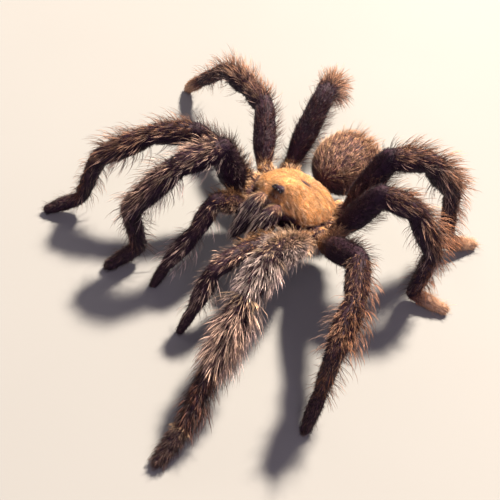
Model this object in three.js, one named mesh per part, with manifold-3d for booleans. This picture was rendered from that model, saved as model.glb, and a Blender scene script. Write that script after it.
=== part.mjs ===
// A life-size male tarantula in a slow walking stance, out to the tips of its coat.
// Millimetres, +Z up. The head faces -Y, and its right side is towards -X.
import * as THREE from 'three';
import { mergeVertices } from 'three/addons/utils/BufferGeometryUtils.js';
import ManifoldModule from 'manifold-3d';

const solids = await ManifoldModule();
solids.setup();

// ---------------------------------------------------------------- driving sizes

const GAP = 0.3;
const WELD = 1e-4;

// Head part: a domed shell over the coxae, and a flat sternum under them. Doming is the power
// of the dome's rise. The underside has an inner ring, and an outer one just inside the rim,
// both as shares of the outline.
const SHELL = {
  halfWidth: 7.0,
  halfLength: 6.9,
  centreY: -1.0,
  underside: 10.9,
  pitch: 9,
  rim: 0.8,
  height: 2.7,
  frontNarrowing: 0.15,
  narrowingPower: 1.5,
  squareness: 0.8,
  doming: 0.85,
  innerRing: 0.5,
  outerRing: 0.98,
  rows: 8,
  sides: 30,
};
const CAPUT = { rise: 2.7, y: -4.0, halfWidth: 3.2, halfLength: 3.4 };
const STERNUM = {
  halfWidth: 3.6,
  halfLength: 5.0,
  y: -1.0,
  underside: 6.7,
  top: 9.6,
  undersideShare: 0.86,
  sides: 20,
};
const COXA = {
  innerRadius: 1.6,
  outerRadius: 1.95,
  innerReach: 0.25,
  innerHeight: 8.6,
  overrun: 2.0,
  sides: 10,
};

// Eye mound near the front of the shell.
const MOUND = {
  halfWidth: 1.35,
  halfLength: 0.95,
  height: 0.95,
  y: -5.2,
  sink: 0.8,
  sides: 14,
  rows: 10,
};

// Jaws: two stout segments side by side, each with a fang folded under it. Ahead and middle
// are shares of the length, and so are the fang's place and, of the height, its drop.
const JAW = {
  length: 8.4,
  halfWidth: 1.6,
  halfHeight: 2.45,
  x: 1.78,
  y: -7.4,
  z: 13.8,
  pitch: -46,
  bluntness: 0.8,
  taper: 0.22,
  ahead: 0.62,
  middle: 0.38,
  clearance: 0.6,
  sides: 14,
  rows: 12,
};
const FANG = {
  length: 4.8,
  baseRadius: 0.62,
  tipRadius: 0.28,
  tipRounding: 0.6,
  sweep: 80,
  lean: 6,
  place: 0.78,
  drop: 0.5,
  sides: 8,
  rows: 6,
};

// Hind body: an egg on a narrow waist, with two finger-like spinnerets. It swings a little to
// the animal's right. The spinnerets' places are measured from the egg's middle.
const EGG = {
  halfLength: 7.3,
  halfWidth: 6.6,
  halfHeight: 5.7,
  x: -0.75,
  y: 13.35,
  z: 11.1,
  taper: 0.12,
  pitch: 3,
  swing: 6,
  sides: 22,
  rows: 16,
};
const WAIST = { radius: 1.1, length: 3.0, y: 7.25, z: 8.6, sides: 12 };
const SPINNERET = {
  length: 3.2,
  radius: 0.75,
  x: 1.25,
  y: 6.6,
  z: -3.8,
  spread: 14,
  pitch: 12,
  taper: 0.25,
  sides: 9,
  rows: 4,
};

// Limbs. Each list runs from the body outwards. Radii are at a segment's start, belly and end,
// and take in the coat.
const LEG_PARTS = ['femur', 'patella', 'tibia', 'metatarsus', 'tarsus'];
const PALP_PARTS = ['femur', 'patella', 'tibia', 'tarsus'];
const RADII = {
  femur: [1.6, 2.55, 2.35],
  patella: [2.3, 2.5, 2.3],
  tibia: [2.3, 2.6, 2.15],
  metatarsus: [2.1, 1.9, 1.65],
  tarsus: [1.65, 1.7, 1.25],
};
const LIMBS = {
  palp: { root: [5.0, -8.0], lengths: [9.8, 6.0, 7.4, 5.8], stoutness: 0.76, parts: PALP_PARTS },
  leg_1: { root: [7.9, -6.4], lengths: [14.2, 7.6, 11.4, 9.8, 7.0], stoutness: 1.0, parts: LEG_PARTS },
  leg_2: { root: [9.5, -3.0], lengths: [13.4, 7.2, 10.4, 9.8, 7.2], stoutness: 0.95, parts: LEG_PARTS },
  leg_3: { root: [9.4, 1.2], lengths: [12.0, 6.2, 8.8, 11.0, 7.2], stoutness: 0.95, parts: LEG_PARTS },
  leg_4: { root: [7.2, 5.8], lengths: [14.4, 6.8, 10.4, 13.4, 8.2], stoutness: 0.97, parts: LEG_PARTS },
};
const ROOT_HEIGHT = 9.8;
const TIP_PLACE = 0.86;
const TIP_TURNS = [35, 65];
const BELLY_PLACE = 0.45;
const FOOT_DIP = 0.25;
const NEAR_FLOOR = 3.3;
const LIMB_SIDES = 9;
const LIMB_BREADTH = 0.95;
const PROFILE_STEPS = 6;
const JOINT_REACH = 4.0;

// Stance. Azimuth turns outwards from straight ahead, pitch is up from level. The last
// segment's pitch follows from the height that is left above the floor.
const STANCE = {
  right: {
    palp: { azimuth: [-4, 1, 8, 14], pitch: [36, -58, -46] },
    leg_1: { azimuth: [0, 14, 24, 23, 14], pitch: [65, -9, -48, -103] },
    leg_2: { azimuth: [46, 37, 31, 31, 33], pitch: [42, -7, -29, -73] },
    leg_3: { azimuth: [130, 110, 102, 97, 97], pitch: [31, -8, -10, -46] },
    leg_4: { azimuth: [162, 152, 148, 145, 145], pitch: [46, -22, -42, -38] },
  },
  left: {
    palp: { azimuth: [-3, -1, 0, 0], pitch: [15, -6, -66] },
    leg_1: { azimuth: [12, 20, 22, 22, 10], pitch: [33, -20, -30, -35] },
    leg_2: { azimuth: [66, 40, 26, 25, 24], pitch: [35, -8, -6, -90] },
    leg_3: { azimuth: [118, 113, 115, 115, 117], pitch: [66, -4, -55, -93] },
    leg_4: { azimuth: [130, 136, 155, 138, 157], pitch: [74, 2, -48, -78] },
  },
};
const SIDE_SIGN = { right: -1, left: 1 };

// ---------------------------------------------------------------- finishes

const finish = (color, roughness) => new THREE.MeshStandardMaterial({ color, roughness, metalness: 0 });
const FINISHES = {
  shell: () => finish(0xb5793c, 0.6),
  leg: () => finish(0x3a2a24, 0.75),
  egg: () => finish(0x6a4434, 0.85),
  jaw: () => finish(0x4b3a33, 0.7),
  horn: () => finish(0x140f0d, 0.3),
};

// ---------------------------------------------------------------- solid helpers

/** Turns a closed three.js geometry into a solid that can be cut and joined. */
function toSolid(geometry) {
  const bare = geometry.clone();
  bare.deleteAttribute('normal');
  bare.deleteAttribute('uv');
  const merged = mergeVertices(bare, WELD);
  const corners = merged.index.array;
  const kept = [];
  for (let i = 0; i < corners.length; i += 3) {
    const [a, b, c] = [corners[i], corners[i + 1], corners[i + 2]];
    if (a !== b && b !== c && c !== a) {
      kept.push(a, b, c);
    }
  }
  const mesh = new solids.Mesh({
    numProp: 3,
    vertProperties: new Float32Array(merged.attributes.position.array),
    triVerts: new Uint32Array(kept),
  });
  return new solids.Manifold(mesh);
}

/** Turns a solid back into a three.js geometry. */
function toGeometry(solid) {
  const mesh = solid.getMesh();
  const geometry = new THREE.BufferGeometry();
  geometry.setAttribute('position', new THREE.BufferAttribute(mesh.vertProperties, 3));
  geometry.setIndex(new THREE.BufferAttribute(mesh.triVerts, 1));
  geometry.computeVertexNormals();
  return geometry;
}

/** Moves each point of a geometry to where `place` puts it. */
function reshape(geometry, place) {
  const points = geometry.attributes.position;
  for (let i = 0; i < points.count; i += 1) {
    const moved = place(new THREE.Vector3().fromBufferAttribute(points, i));
    points.setXYZ(i, moved.x, moved.y, moved.z);
  }
  return geometry;
}

/** Keeps the part of a solid on the side of a plane that its normal points to. */
function keepBeyond(solid, normal, point) {
  return solid.trimByPlane(normal.toArray(), normal.dot(point));
}

const radians = THREE.MathUtils.degToRad;
const UP = new THREE.Vector3(0, 0, 1);

// ---------------------------------------------------------------- limbs

/** The unit direction of a limb segment, and the level direction across it. */
function heading(side, azimuth, pitch) {
  const turn = radians(azimuth);
  const rise = radians(pitch);
  const sign = SIDE_SIGN[side];
  const along = new THREE.Vector3(
    sign * Math.sin(turn) * Math.cos(rise),
    -Math.cos(turn) * Math.cos(rise),
    Math.sin(rise),
  );
  const across = new THREE.Vector3(Math.cos(turn), sign * Math.sin(turn), 0);
  return { along, across };
}

/** Works out where each segment of a limb starts, ends and points. */
function limbChain(side, name) {
  const limb = LIMBS[name];
  const { azimuth, pitch } = STANCE[side][name];
  const start = new THREE.Vector3(SIDE_SIGN[side] * limb.root[0], limb.root[1], ROOT_HEIGHT);
  return limb.lengths.map((length, index) => {
    const tip = index === limb.lengths.length - 1;
    const angle = tip ? pitchToFloor(start.z, length, limb.stoutness) : pitch[index];
    const { along, across } = heading(side, azimuth[index], angle);
    const origin = start.clone();
    start.addScaledVector(along, length);
    return { part: limb.parts[index], length, along, across, origin, end: start.clone(), tip };
  });
}

/** The pitch that sets the last segment's rounded tip down, so that the floor cuts a small flat. */
function pitchToFloor(height, length, stoutness) {
  const tipRadius = RADII.tarsus[2] * stoutness;
  return -THREE.MathUtils.radToDeg(Math.asin((height - tipRadius + FOOT_DIP) / (TIP_PLACE * length)));
}

/** A round profile from the axis out, along the segment, and back to the axis. */
function segmentProfile(length, radii, tip) {
  const [start, middle, end] = radii;
  const line = new THREE.SplineCurve([
    new THREE.Vector2(start, -JOINT_REACH),
    new THREE.Vector2(start, 0),
    new THREE.Vector2(middle, length * BELLY_PLACE),
    new THREE.Vector2(end, length * (tip ? TIP_PLACE : 1)),
  ]).getPoints(PROFILE_STEPS);
  const profile = [new THREE.Vector2(0, -JOINT_REACH), ...line];
  if (tip) {
    for (const angle of TIP_TURNS) {
      const bend = radians(angle);
      profile.push(new THREE.Vector2(end * Math.cos(bend), length * TIP_PLACE + end * Math.sin(bend)));
    }
    profile.push(new THREE.Vector2(0, length * TIP_PLACE + end));
  } else {
    profile.push(new THREE.Vector2(end, length + JOINT_REACH));
    profile.push(new THREE.Vector2(0, length + JOINT_REACH));
  }
  return profile;
}

/** One segment in its own frame: it lies along +Y from its joint, mitred to its neighbours. */
function segmentMesh(name, segment, before, after, stoutness) {
  const { part, length, along, across, origin, end, tip } = segment;
  const radii = RADII[part].map((radius) => radius * stoutness);
  const up = new THREE.Vector3().crossVectors(across, along);
  const frame = new THREE.Matrix4().makeBasis(across, along, up);
  const turn = new THREE.Quaternion().setFromRotationMatrix(frame);
  const toLocal = turn.clone().invert();
  const lathe = new THREE.LatheGeometry(segmentProfile(length, radii, tip), LIMB_SIDES);
  let solid = toSolid(lathe.scale(LIMB_BREADTH, 1, 1));

  const nearNormal = before ? before.along.clone().add(along).normalize() : along.clone();
  const localNear = nearNormal.applyQuaternion(toLocal);
  solid = keepBeyond(solid, localNear, localNear.clone().multiplyScalar(GAP / 2));
  if (after) {
    const farNormal = after.along.clone().add(along).normalize().negate().applyQuaternion(toLocal);
    const joint = new THREE.Vector3(0, length, 0).addScaledVector(farNormal, GAP / 2);
    solid = keepBeyond(solid, farNormal, joint);
  }
  if (end.z < NEAR_FLOOR) {
    const floorPoint = new THREE.Vector3(0, 0, -origin.z).applyQuaternion(toLocal);
    solid = keepBeyond(solid, UP.clone().applyQuaternion(toLocal), floorPoint);
  }

  const mesh = new THREE.Mesh(toGeometry(solid), FINISHES.leg());
  mesh.name = `${name}_${part}`;
  mesh.position.copy(origin);
  mesh.quaternion.copy(turn);
  return mesh;
}

/** A whole limb, as a group of its mitred segments. */
function limb(side, name) {
  const chain = limbChain(side, name);
  const group = new THREE.Group();
  chain.forEach((segment, index) => {
    const label = `${name}_${side}`;
    group.add(segmentMesh(label, segment, chain[index - 1], chain[index + 1], LIMBS[name].stoutness));
  });
  return group;
}

// ---------------------------------------------------------------- head part

/** Half of the shell's plan outline at a turn from straight ahead. */
function shellOutline(turn) {
  const power = SHELL.squareness;
  const ahead = Math.cos(turn);
  const aside = Math.sin(turn);
  const narrowing = 1 - SHELL.frontNarrowing * Math.max(0, ahead) ** SHELL.narrowingPower;
  return new THREE.Vector2(
    SHELL.halfWidth * Math.sign(aside) * Math.abs(aside) ** power * narrowing,
    -SHELL.halfLength * Math.sign(ahead) * Math.abs(ahead) ** power,
  );
}

/** The raised front of the shell, where the eyes sit. */
function caputRise(x, y) {
  const across = x / CAPUT.halfWidth;
  const along = (y - CAPUT.y) / CAPUT.halfLength;
  return CAPUT.rise * Math.exp(-(across ** 2) - along ** 2);
}

/** Tips a direction or a point of the level shell to its stance, with the head raised. */
function tipped(vector) {
  return vector.clone().applyAxisAngle(new THREE.Vector3(1, 0, 0), radians(-SHELL.pitch));
}

/** Where a point of the level shell, measured from its underside's middle, stands. */
function onShell(x, y, z) {
  return tipped(new THREE.Vector3(x, y, z)).add(new THREE.Vector3(0, SHELL.centreY, SHELL.underside));
}

/** The height of the shell's midline over its underside. */
function midlineHeight(y) {
  const swell = Math.sqrt(Math.max(0, 1 - (y / SHELL.halfLength) ** 2)) ** SHELL.doming;
  return SHELL.rim + (SHELL.height + caputRise(0, y)) * swell;
}

/** The shell: a dome on a flat underside, with a thin blunt rim. */
function shellSolid() {
  const profile = [0, SHELL.innerRing, SHELL.outerRing].map((reach) => new THREE.Vector2(reach, -1));
  for (let row = 0; row < SHELL.rows; row += 1) {
    const rise = (row / SHELL.rows) * (Math.PI / 2);
    profile.push(new THREE.Vector2(Math.cos(rise), Math.sin(rise)));
  }
  profile.push(new THREE.Vector2(0, 1));
  const unit = new THREE.LatheGeometry(profile, SHELL.sides).rotateX(Math.PI / 2);
  return toSolid(reshape(unit, (point) => {
    const reach = Math.hypot(point.x, point.y);
    const plan = shellOutline(Math.atan2(point.x, -point.y)).multiplyScalar(reach);
    if (point.z < 0) {
      return onShell(plan.x, plan.y, 0);
    }
    const swell = Math.max(0, point.z) ** SHELL.doming;
    return onShell(plan.x, plan.y, SHELL.rim + (SHELL.height + caputRise(plan.x, plan.y)) * swell);
  }));
}

/** The small mound that carries the eyes, standing on the shell. */
function moundSolid(shell) {
  const seat = onShell(0, MOUND.y, midlineHeight(MOUND.y) - MOUND.sink);
  const ball = new THREE.SphereGeometry(1, MOUND.sides, MOUND.rows).rotateX(Math.PI / 2);
  ball.scale(MOUND.halfWidth, MOUND.halfLength, MOUND.height + MOUND.sink);
  ball.translate(seat.x, seat.y, seat.z);
  return toSolid(ball).subtract(shell.translate([0, 0, GAP]));
}

/** The sternum plate and the ten coxae that ring it, as one piece under the shell. */
function sternumSolid() {
  const thickness = STERNUM.top - STERNUM.underside;
  const plate = new THREE.CylinderGeometry(1, STERNUM.undersideShare, thickness, STERNUM.sides);
  plate.rotateX(Math.PI / 2);
  plate.scale(STERNUM.halfWidth, STERNUM.halfLength, 1);
  plate.translate(0, STERNUM.y, (STERNUM.top + STERNUM.underside) / 2);
  let joined = toSolid(plate);
  for (const side of ['right', 'left']) {
    for (const name of Object.keys(LIMBS)) {
      joined = joined.add(coxaSolid(side, name));
    }
  }
  return keepBeyond(joined, tipped(UP).negate(), onShell(0, 0, -GAP));
}

/** One coxa: a short tapered barrel from the sternum out to the limb's root. */
function coxaSolid(side, name) {
  const { root, stoutness } = LIMBS[name];
  const outer = new THREE.Vector3(SIDE_SIGN[side] * root[0], root[1], ROOT_HEIGHT);
  const inner = outer.clone().multiplyScalar(COXA.innerReach).setZ(COXA.innerHeight);
  const first = limbChain(side, name)[0].along;
  const axis = outer.clone().sub(inner);
  const length = axis.length() + COXA.overrun;
  const barrel = new THREE.CylinderGeometry(
    COXA.outerRadius * stoutness,
    COXA.innerRadius * stoutness,
    length,
    COXA.sides,
  );
  barrel.translate(0, length / 2, 0);
  const upright = new THREE.Vector3(0, 1, 0);
  barrel.applyQuaternion(new THREE.Quaternion().setFromUnitVectors(upright, axis.normalize()));
  barrel.translate(inner.x, inner.y, inner.z);
  const cut = outer.clone().addScaledVector(first, -GAP / 2);
  return keepBeyond(toSolid(barrel), first.clone().negate(), cut);
}

// ---------------------------------------------------------------- jaws and fangs

/** One jaw: a blunt barrel, tallest near its root, cut flat where it meets the shell. */
function jawSolid(side) {
  const ball = new THREE.SphereGeometry(1, JAW.sides, JAW.rows).rotateX(Math.PI);
  reshape(ball, (point) => {
    const forward = Math.sign(-point.y) * Math.abs(point.y) ** JAW.bluntness;
    const slim = 1 - JAW.taper * Math.max(0, forward);
    return new THREE.Vector3(
      point.x * JAW.halfWidth * slim,
      -forward * JAW.length * JAW.ahead,
      point.z * JAW.halfHeight * slim,
    );
  });
  ball.translate(0, -JAW.length * JAW.middle, 0);
  ball.rotateX(radians(-JAW.pitch));
  ball.translate(SIDE_SIGN[side] * JAW.x, JAW.y, JAW.z);
  const front = SHELL.centreY - SHELL.halfLength * Math.cos(radians(SHELL.pitch));
  const cut = new THREE.Vector3(0, front - JAW.clearance, 0);
  return keepBeyond(toSolid(ball), new THREE.Vector3(0, -1, 0), cut);
}

/** One fang: a curved cone that folds back under its jaw. */
function fangSolid(side, jaw) {
  const profile = [new THREE.Vector2(0, 0)];
  for (let row = 0; row <= FANG.rows; row += 1) {
    const along = row / FANG.rows;
    const radius = FANG.baseRadius + (FANG.tipRadius - FANG.baseRadius) * along;
    profile.push(new THREE.Vector2(radius, along * FANG.length));
  }
  profile.push(new THREE.Vector2(0, FANG.length + FANG.tipRadius * FANG.tipRounding));
  const cone = new THREE.LatheGeometry(profile, FANG.sides);
  const bendRadius = FANG.length / radians(FANG.sweep);
  reshape(cone, (point) => {
    const angle = point.y / bendRadius;
    const radius = bendRadius - point.z;
    return new THREE.Vector3(point.x, bendRadius - radius * Math.cos(angle), -radius * Math.sin(angle));
  });
  const reach = JAW.length * FANG.place;
  const pitch = radians(JAW.pitch);
  cone.rotateX(radians(FANG.lean));
  cone.translate(
    SIDE_SIGN[side] * JAW.x,
    JAW.y - reach * Math.cos(pitch),
    JAW.z + reach * Math.sin(pitch) - JAW.halfHeight * FANG.drop,
  );
  return toSolid(cone).subtract(jaw.translate([0, 0, -GAP])).subtract(jaw);
}

// ---------------------------------------------------------------- hind body

/** The hind body with its waist, which ends just behind the sternum. */
function eggSolid() {
  const ball = new THREE.SphereGeometry(1, EGG.sides, EGG.rows).rotateX(Math.PI);
  reshape(ball, (point) => {
    const broad = 1 + EGG.taper * point.y;
    return new THREE.Vector3(
      point.x * EGG.halfWidth * broad,
      point.y * EGG.halfLength,
      point.z * EGG.halfHeight * broad,
    );
  });
  ball.rotateX(radians(EGG.pitch)).rotateZ(radians(EGG.swing));
  ball.translate(EGG.x, EGG.y, EGG.z);
  const waist = new THREE.CylinderGeometry(WAIST.radius, WAIST.radius, WAIST.length, WAIST.sides);
  waist.translate(0, WAIST.y, WAIST.z);
  return toSolid(ball).add(toSolid(waist));
}

/** One spinneret: a tapered finger at the lower end of the hind body. */
function spinneretSolid(side, egg) {
  const finger = new THREE.CapsuleGeometry(
    SPINNERET.radius,
    SPINNERET.length,
    SPINNERET.rows,
    SPINNERET.sides,
  );
  reshape(finger, (point) => {
    const slim = 1 - SPINNERET.taper * (point.y / SPINNERET.length + 1 / 2);
    return new THREE.Vector3(point.x * slim, point.y, point.z * slim);
  });
  finger.rotateX(radians(SPINNERET.pitch));
  finger.rotateZ(radians(-SIDE_SIGN[side] * SPINNERET.spread));
  finger.translate(SIDE_SIGN[side] * SPINNERET.x, SPINNERET.y, SPINNERET.z);
  finger.rotateZ(radians(EGG.swing));
  finger.translate(EGG.x, EGG.y, EGG.z);
  return toSolid(finger).subtract(egg.translate([0, GAP, -GAP])).subtract(egg);
}

// ---------------------------------------------------------------- assembly

/** Wraps a solid as a named mesh with its finish. */
function named(name, solid, material) {
  const mesh = new THREE.Mesh(toGeometry(solid), material);
  mesh.name = name;
  return mesh;
}

const spider = new THREE.Group();
const shell = shellSolid();
const egg = eggSolid();
spider.add(named('carapace', shell, FINISHES.shell()));
spider.add(named('eye_mound', moundSolid(shell), FINISHES.shell()));
spider.add(named('sternum_and_coxae', sternumSolid(), FINISHES.leg()));
spider.add(named('abdomen', egg, FINISHES.egg()));
for (const side of ['right', 'left']) {
  const jaw = jawSolid(side);
  spider.add(named(`chelicera_${side}`, jaw, FINISHES.jaw()));
  spider.add(named(`fang_${side}`, fangSolid(side, jaw), FINISHES.horn()));
  spider.add(named(`spinneret_${side}`, spinneretSolid(side, egg), FINISHES.egg()));
  for (const name of Object.keys(LIMBS)) {
    spider.add(limb(side, name));
  }
}

// The row's frame has its origin at the middle of the box's floor.
spider.updateMatrixWorld(true);
const box = new THREE.Box3().setFromObject(spider, true);
const middle = box.getCenter(new THREE.Vector3());
spider.position.set(-middle.x, -middle.y, -box.min.z);

export default spider;
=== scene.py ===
"""A life-size tarantula in a slow walking stance: one skin, its coat of hair, eyes, fangs and claws."""

import logging
import math
from dataclasses import dataclass, field, fields
from enum import Enum

import bpy
import numpy as np
from mathutils import Matrix, Vector
from mathutils.kdtree import KDTree


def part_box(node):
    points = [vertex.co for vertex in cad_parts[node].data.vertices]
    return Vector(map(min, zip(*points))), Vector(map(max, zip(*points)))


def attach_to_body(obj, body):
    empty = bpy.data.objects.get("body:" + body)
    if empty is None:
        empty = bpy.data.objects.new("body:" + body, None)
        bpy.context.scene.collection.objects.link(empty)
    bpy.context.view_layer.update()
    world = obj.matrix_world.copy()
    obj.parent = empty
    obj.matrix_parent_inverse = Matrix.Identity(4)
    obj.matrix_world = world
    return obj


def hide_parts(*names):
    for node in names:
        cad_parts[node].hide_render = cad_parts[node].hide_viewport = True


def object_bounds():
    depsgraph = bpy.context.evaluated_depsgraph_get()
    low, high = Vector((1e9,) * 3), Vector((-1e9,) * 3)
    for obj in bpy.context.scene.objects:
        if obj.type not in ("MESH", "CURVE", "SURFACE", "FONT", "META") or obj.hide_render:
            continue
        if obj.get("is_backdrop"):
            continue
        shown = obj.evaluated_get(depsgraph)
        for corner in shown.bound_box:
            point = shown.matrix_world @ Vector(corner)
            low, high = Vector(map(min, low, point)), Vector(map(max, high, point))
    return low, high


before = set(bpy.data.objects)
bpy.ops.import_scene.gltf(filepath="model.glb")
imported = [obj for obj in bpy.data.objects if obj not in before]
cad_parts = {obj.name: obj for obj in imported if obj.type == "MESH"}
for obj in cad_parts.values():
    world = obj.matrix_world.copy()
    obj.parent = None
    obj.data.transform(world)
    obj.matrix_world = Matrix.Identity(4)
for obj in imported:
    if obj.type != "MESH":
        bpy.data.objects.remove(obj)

Array = np.ndarray
Values = Array | float
Pair = tuple[float, float]
Triple = tuple[float, float, float]
Colour = Triple
Piece = bpy.types.Object
Mesh = bpy.types.Mesh
Node = bpy.types.Node

LOG = logging.getLogger("tarantula")
MM = 0.001
BODY = "root"
TUFTS_OF_A_KIND = 6

# Where the point on the floor under the body's own middle stands in the row frame, in mm.
BODY_MIDDLE = np.array([6.42785, 2.5197, 0.0])

ASIDE = np.array([1.0, 0.0, 0.0])
UPRIGHT = np.array([0.0, 0.0, 1.0])


class Side(Enum):
    """A side of the animal, with the sign that x has there."""

    RIGHT = -1
    LEFT = 1


class Part(Enum):
    """A limb's segments, from the body outwards."""

    FEMUR = "femur"
    PATELLA = "patella"
    TIBIA = "tibia"
    METATARSUS = "metatarsus"
    TARSUS = "tarsus"


# ---------------- tints


class Tint:
    """The animal's colours, as linear red, green and blue."""

    INK = (0.019, 0.0085, 0.0185)
    UMBER = (0.048, 0.018, 0.025)
    CHESTNUT = (0.140, 0.062, 0.042)
    RUST = (0.420, 0.165, 0.070)
    ASH = (0.300, 0.200, 0.165)
    FAWN = (0.500, 0.310, 0.210)
    CREAM = (0.720, 0.530, 0.380)
    GOLD = (0.620, 0.290, 0.090)
    HONEY = (0.900, 0.520, 0.200)
    MAUVE = (0.260, 0.150, 0.125)
    FROST = (0.500, 0.400, 0.370)
    LINEN = (0.620, 0.470, 0.380)
    SILVER = (0.660, 0.570, 0.540)


def smooth(x: Values) -> Values:
    """A soft step from 0 at 0 to 1 at 1."""
    x = np.clip(x, 0.0, 1.0)
    return x * x * (3.0 - 2.0 * x)


def onset(x: Values, start: float, width: float) -> Values:
    """A soft step up, which starts at a value and takes a width."""
    return smooth((x - start) / width)


def ebb(x: Values, end: float, width: float) -> Values:
    """A soft step down, which is over at a value and takes a width."""
    return smooth((end - x) / width)


def hill(x: Values, middle: float, width: float) -> Values:
    """A soft hill, 1 high at its middle."""
    return np.exp(-(((x - middle) / width) ** 2))


def spot(x: Values, y: Values, wide: float, long: float) -> Values:
    """A soft round or oval spot about the origin, 1 high at its middle."""
    return np.exp(-((x / wide) ** 2) - (y / long) ** 2)


def columns(*values: Values) -> Array:
    """Numbers, each one for all points or one for each, as the columns of a table."""
    return np.stack(np.broadcast_arrays(*values), axis=-1)


def unit(vectors: Array) -> Array:
    """The same directions with a length of one."""
    return vectors / np.maximum(np.linalg.norm(vectors, axis=-1, keepdims=True), 1e-9)


def mixed(first: Array | Colour, second: Array | Colour, share: Values) -> Array:
    """Blends two colours, or two sets of them.

    Args:
        first: What shows where share is 0.
        second: What shows where share is 1.
        share: One number, or one for each point.

    Returns:
        One colour for each point.
    """
    share = np.asarray(share)[..., None] if np.ndim(share) else share
    return np.asarray(first) * (1.0 - share) + np.asarray(second) * share


# ---------------- shapes in the making


@dataclass
class Shape:
    """A closed surface in the making, in millimetres, in the body's own frame."""

    points: Array
    faces: list[tuple[int, ...]]

    @classmethod
    def from_rings(cls, rings: Array, first: Array, last: Array) -> "Shape":
        """Joins rings of points into a closed surface with a point at each end.

        Args:
            rings: Rows of rings, each with the same number of points.
            first: The point that closes the first ring.
            last: The point that closes the last ring.

        Returns:
            The surface, with its faces outwards.
        """
        rows, sides, _ = rings.shape
        faces: list[tuple[int, ...]] = []
        for row in range(rows - 1):
            for k in range(sides):
                near, far = row * sides + k, row * sides + (k + 1) % sides
                faces.append((near, far, far + sides, near + sides))
        base = (rows - 1) * sides
        start, end = rows * sides, rows * sides + 1
        for k in range(sides):
            nxt = (k + 1) % sides
            faces.append((start, nxt, k))
            faces.append((end, base + k, base + nxt))
        shape = cls(np.vstack([rings.reshape(-1, 3), first[None], last[None]]), faces)
        if shape.volume() < 0:
            shape.faces = [face[::-1] for face in faces]
        return shape

    def volume(self) -> float:
        """The volume that the faces enclose, which is negative if they point inwards.

        Returns:
            The volume in cubic mm.
        """
        total = 0.0
        p = self.points
        for face in self.faces:
            for k in range(1, len(face) - 1):
                total += float(np.dot(p[face[0]], np.cross(p[face[k]], p[face[k + 1]])))
        return total / 6.0

    def moved(self, turn: Array, shift: Array) -> "Shape":
        """The shape turned by a matrix and then moved."""
        return Shape(self.points @ turn.T + shift, self.faces)


def turned_about_x(degrees: float) -> Array:
    """The matrix of a turn about the x axis."""
    c, s = math.cos(math.radians(degrees)), math.sin(math.radians(degrees))
    return np.array([[1, 0, 0], [0, c, -s], [0, s, c]])


def turned_about_z(degrees: float) -> Array:
    """The matrix of a turn about the z axis."""
    c, s = math.cos(math.radians(degrees)), math.sin(math.radians(degrees))
    return np.array([[c, -s, 0], [s, c, 0], [0, 0, 1]])


def tube(path: Array, across: Array, up: Array, widths: Array, heights: Array, sides: int) -> Shape:
    """A closed tube along a path.

    Args:
        path: The rings' centres.
        across: The direction of the rings' width, one for all or one for each.
        up: The direction of their height.
        widths: Half of each ring's width.
        heights: Half of each ring's height.
        sides: How many points a ring has.

    Returns:
        The tube, closed at both ends of its path.
    """
    turn = np.linspace(0, 2 * math.pi, sides, endpoint=False)
    across, up = np.broadcast_to(across, path.shape), np.broadcast_to(up, path.shape)
    wide = across[:, None] * (widths[:, None] * np.cos(turn))[..., None]
    high = up[:, None] * (heights[:, None] * np.sin(turn))[..., None]
    return Shape.from_rings(path[:, None] + wide + high, path[0], path[-1])


def ball(centre: Array | tuple, radii: Triple, rows: int = 14, sides: int = 24) -> Shape:
    """A ball with its own radius along each axis, round the y axis.

    Args:
        centre: The ball's middle.
        radii: Its radius along x, y and z.
        rows: How many rings it has.
        sides: How many points a ring has.

    Returns:
        The ball.
    """
    rise = np.linspace(0, math.pi, rows + 2)[1:-1]
    turn = np.linspace(0, 2 * math.pi, sides, endpoint=False)
    x = np.sin(rise)[:, None] * np.cos(turn)
    z = np.sin(rise)[:, None] * np.sin(turn)
    y = np.repeat(-np.cos(rise)[:, None], sides, axis=1)
    rings = np.stack([x, y, z], axis=-1) * np.array(radii) + centre
    pole = np.array([0.0, radii[1], 0.0])
    return Shape.from_rings(rings, centre - pole, centre + pole)


def new_piece(name: str, shape: Shape) -> Piece:
    """A round-looking piece in metres in the row frame, from a shape in the body's own frame.

    Args:
        name: The piece's name.
        shape: The shape, in mm.

    Returns:
        The piece, in the scene.
    """
    mesh = bpy.data.meshes.new(name)
    mesh.from_pydata(((shape.points + BODY_MIDDLE) * MM).tolist(), [], shape.faces)
    shade_smooth(mesh)
    mesh.update()
    return show(name, mesh)


def read(mesh: Mesh, key: str) -> Array:
    """The place or the normal of each of a mesh's points, as "co" or "normal".

    Args:
        mesh: The mesh.
        key: What to read.

    Returns:
        One row for each point.
    """
    values = np.empty(len(mesh.vertices) * 3, np.float32)
    mesh.vertices.foreach_get(key, values)
    return values.reshape(-1, 3)


def whole_numbers(items: bpy.types.bpy_prop_collection, key: str) -> Array:
    """One whole number from each of a mesh's faces or corners.

    Args:
        items: The faces or corners.
        key: Which number to read.

    Returns:
        The numbers.
    """
    values = np.empty(len(items), np.int32)
    items.foreach_get(key, values)
    return values


def shade_smooth(mesh: Mesh) -> None:
    """Makes a mesh's faces look round."""
    mesh.polygons.foreach_set("use_smooth", np.ones(len(mesh.polygons), bool))


def attach(mesh: Mesh, name: str, kind: str, values: Array) -> None:
    """Writes one value or vector for each point to a new attribute of this kind."""
    layer = mesh.attributes.new(name, kind, "POINT")
    layer.data.foreach_set("vector" if kind == "FLOAT_VECTOR" else "value", values.ravel())


def joined(shapes: list[Shape]) -> Shape:
    """Several shapes as one.

    Args:
        shapes: The shapes.

    Returns:
        One shape, which holds them all.
    """
    faces: list[tuple[int, ...]] = []
    start = 0
    for shape in shapes:
        faces += [tuple(corner + start for corner in face) for face in shape.faces]
        start += len(shape.points)
    return Shape(np.vstack([shape.points for shape in shapes]), faces)


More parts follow.
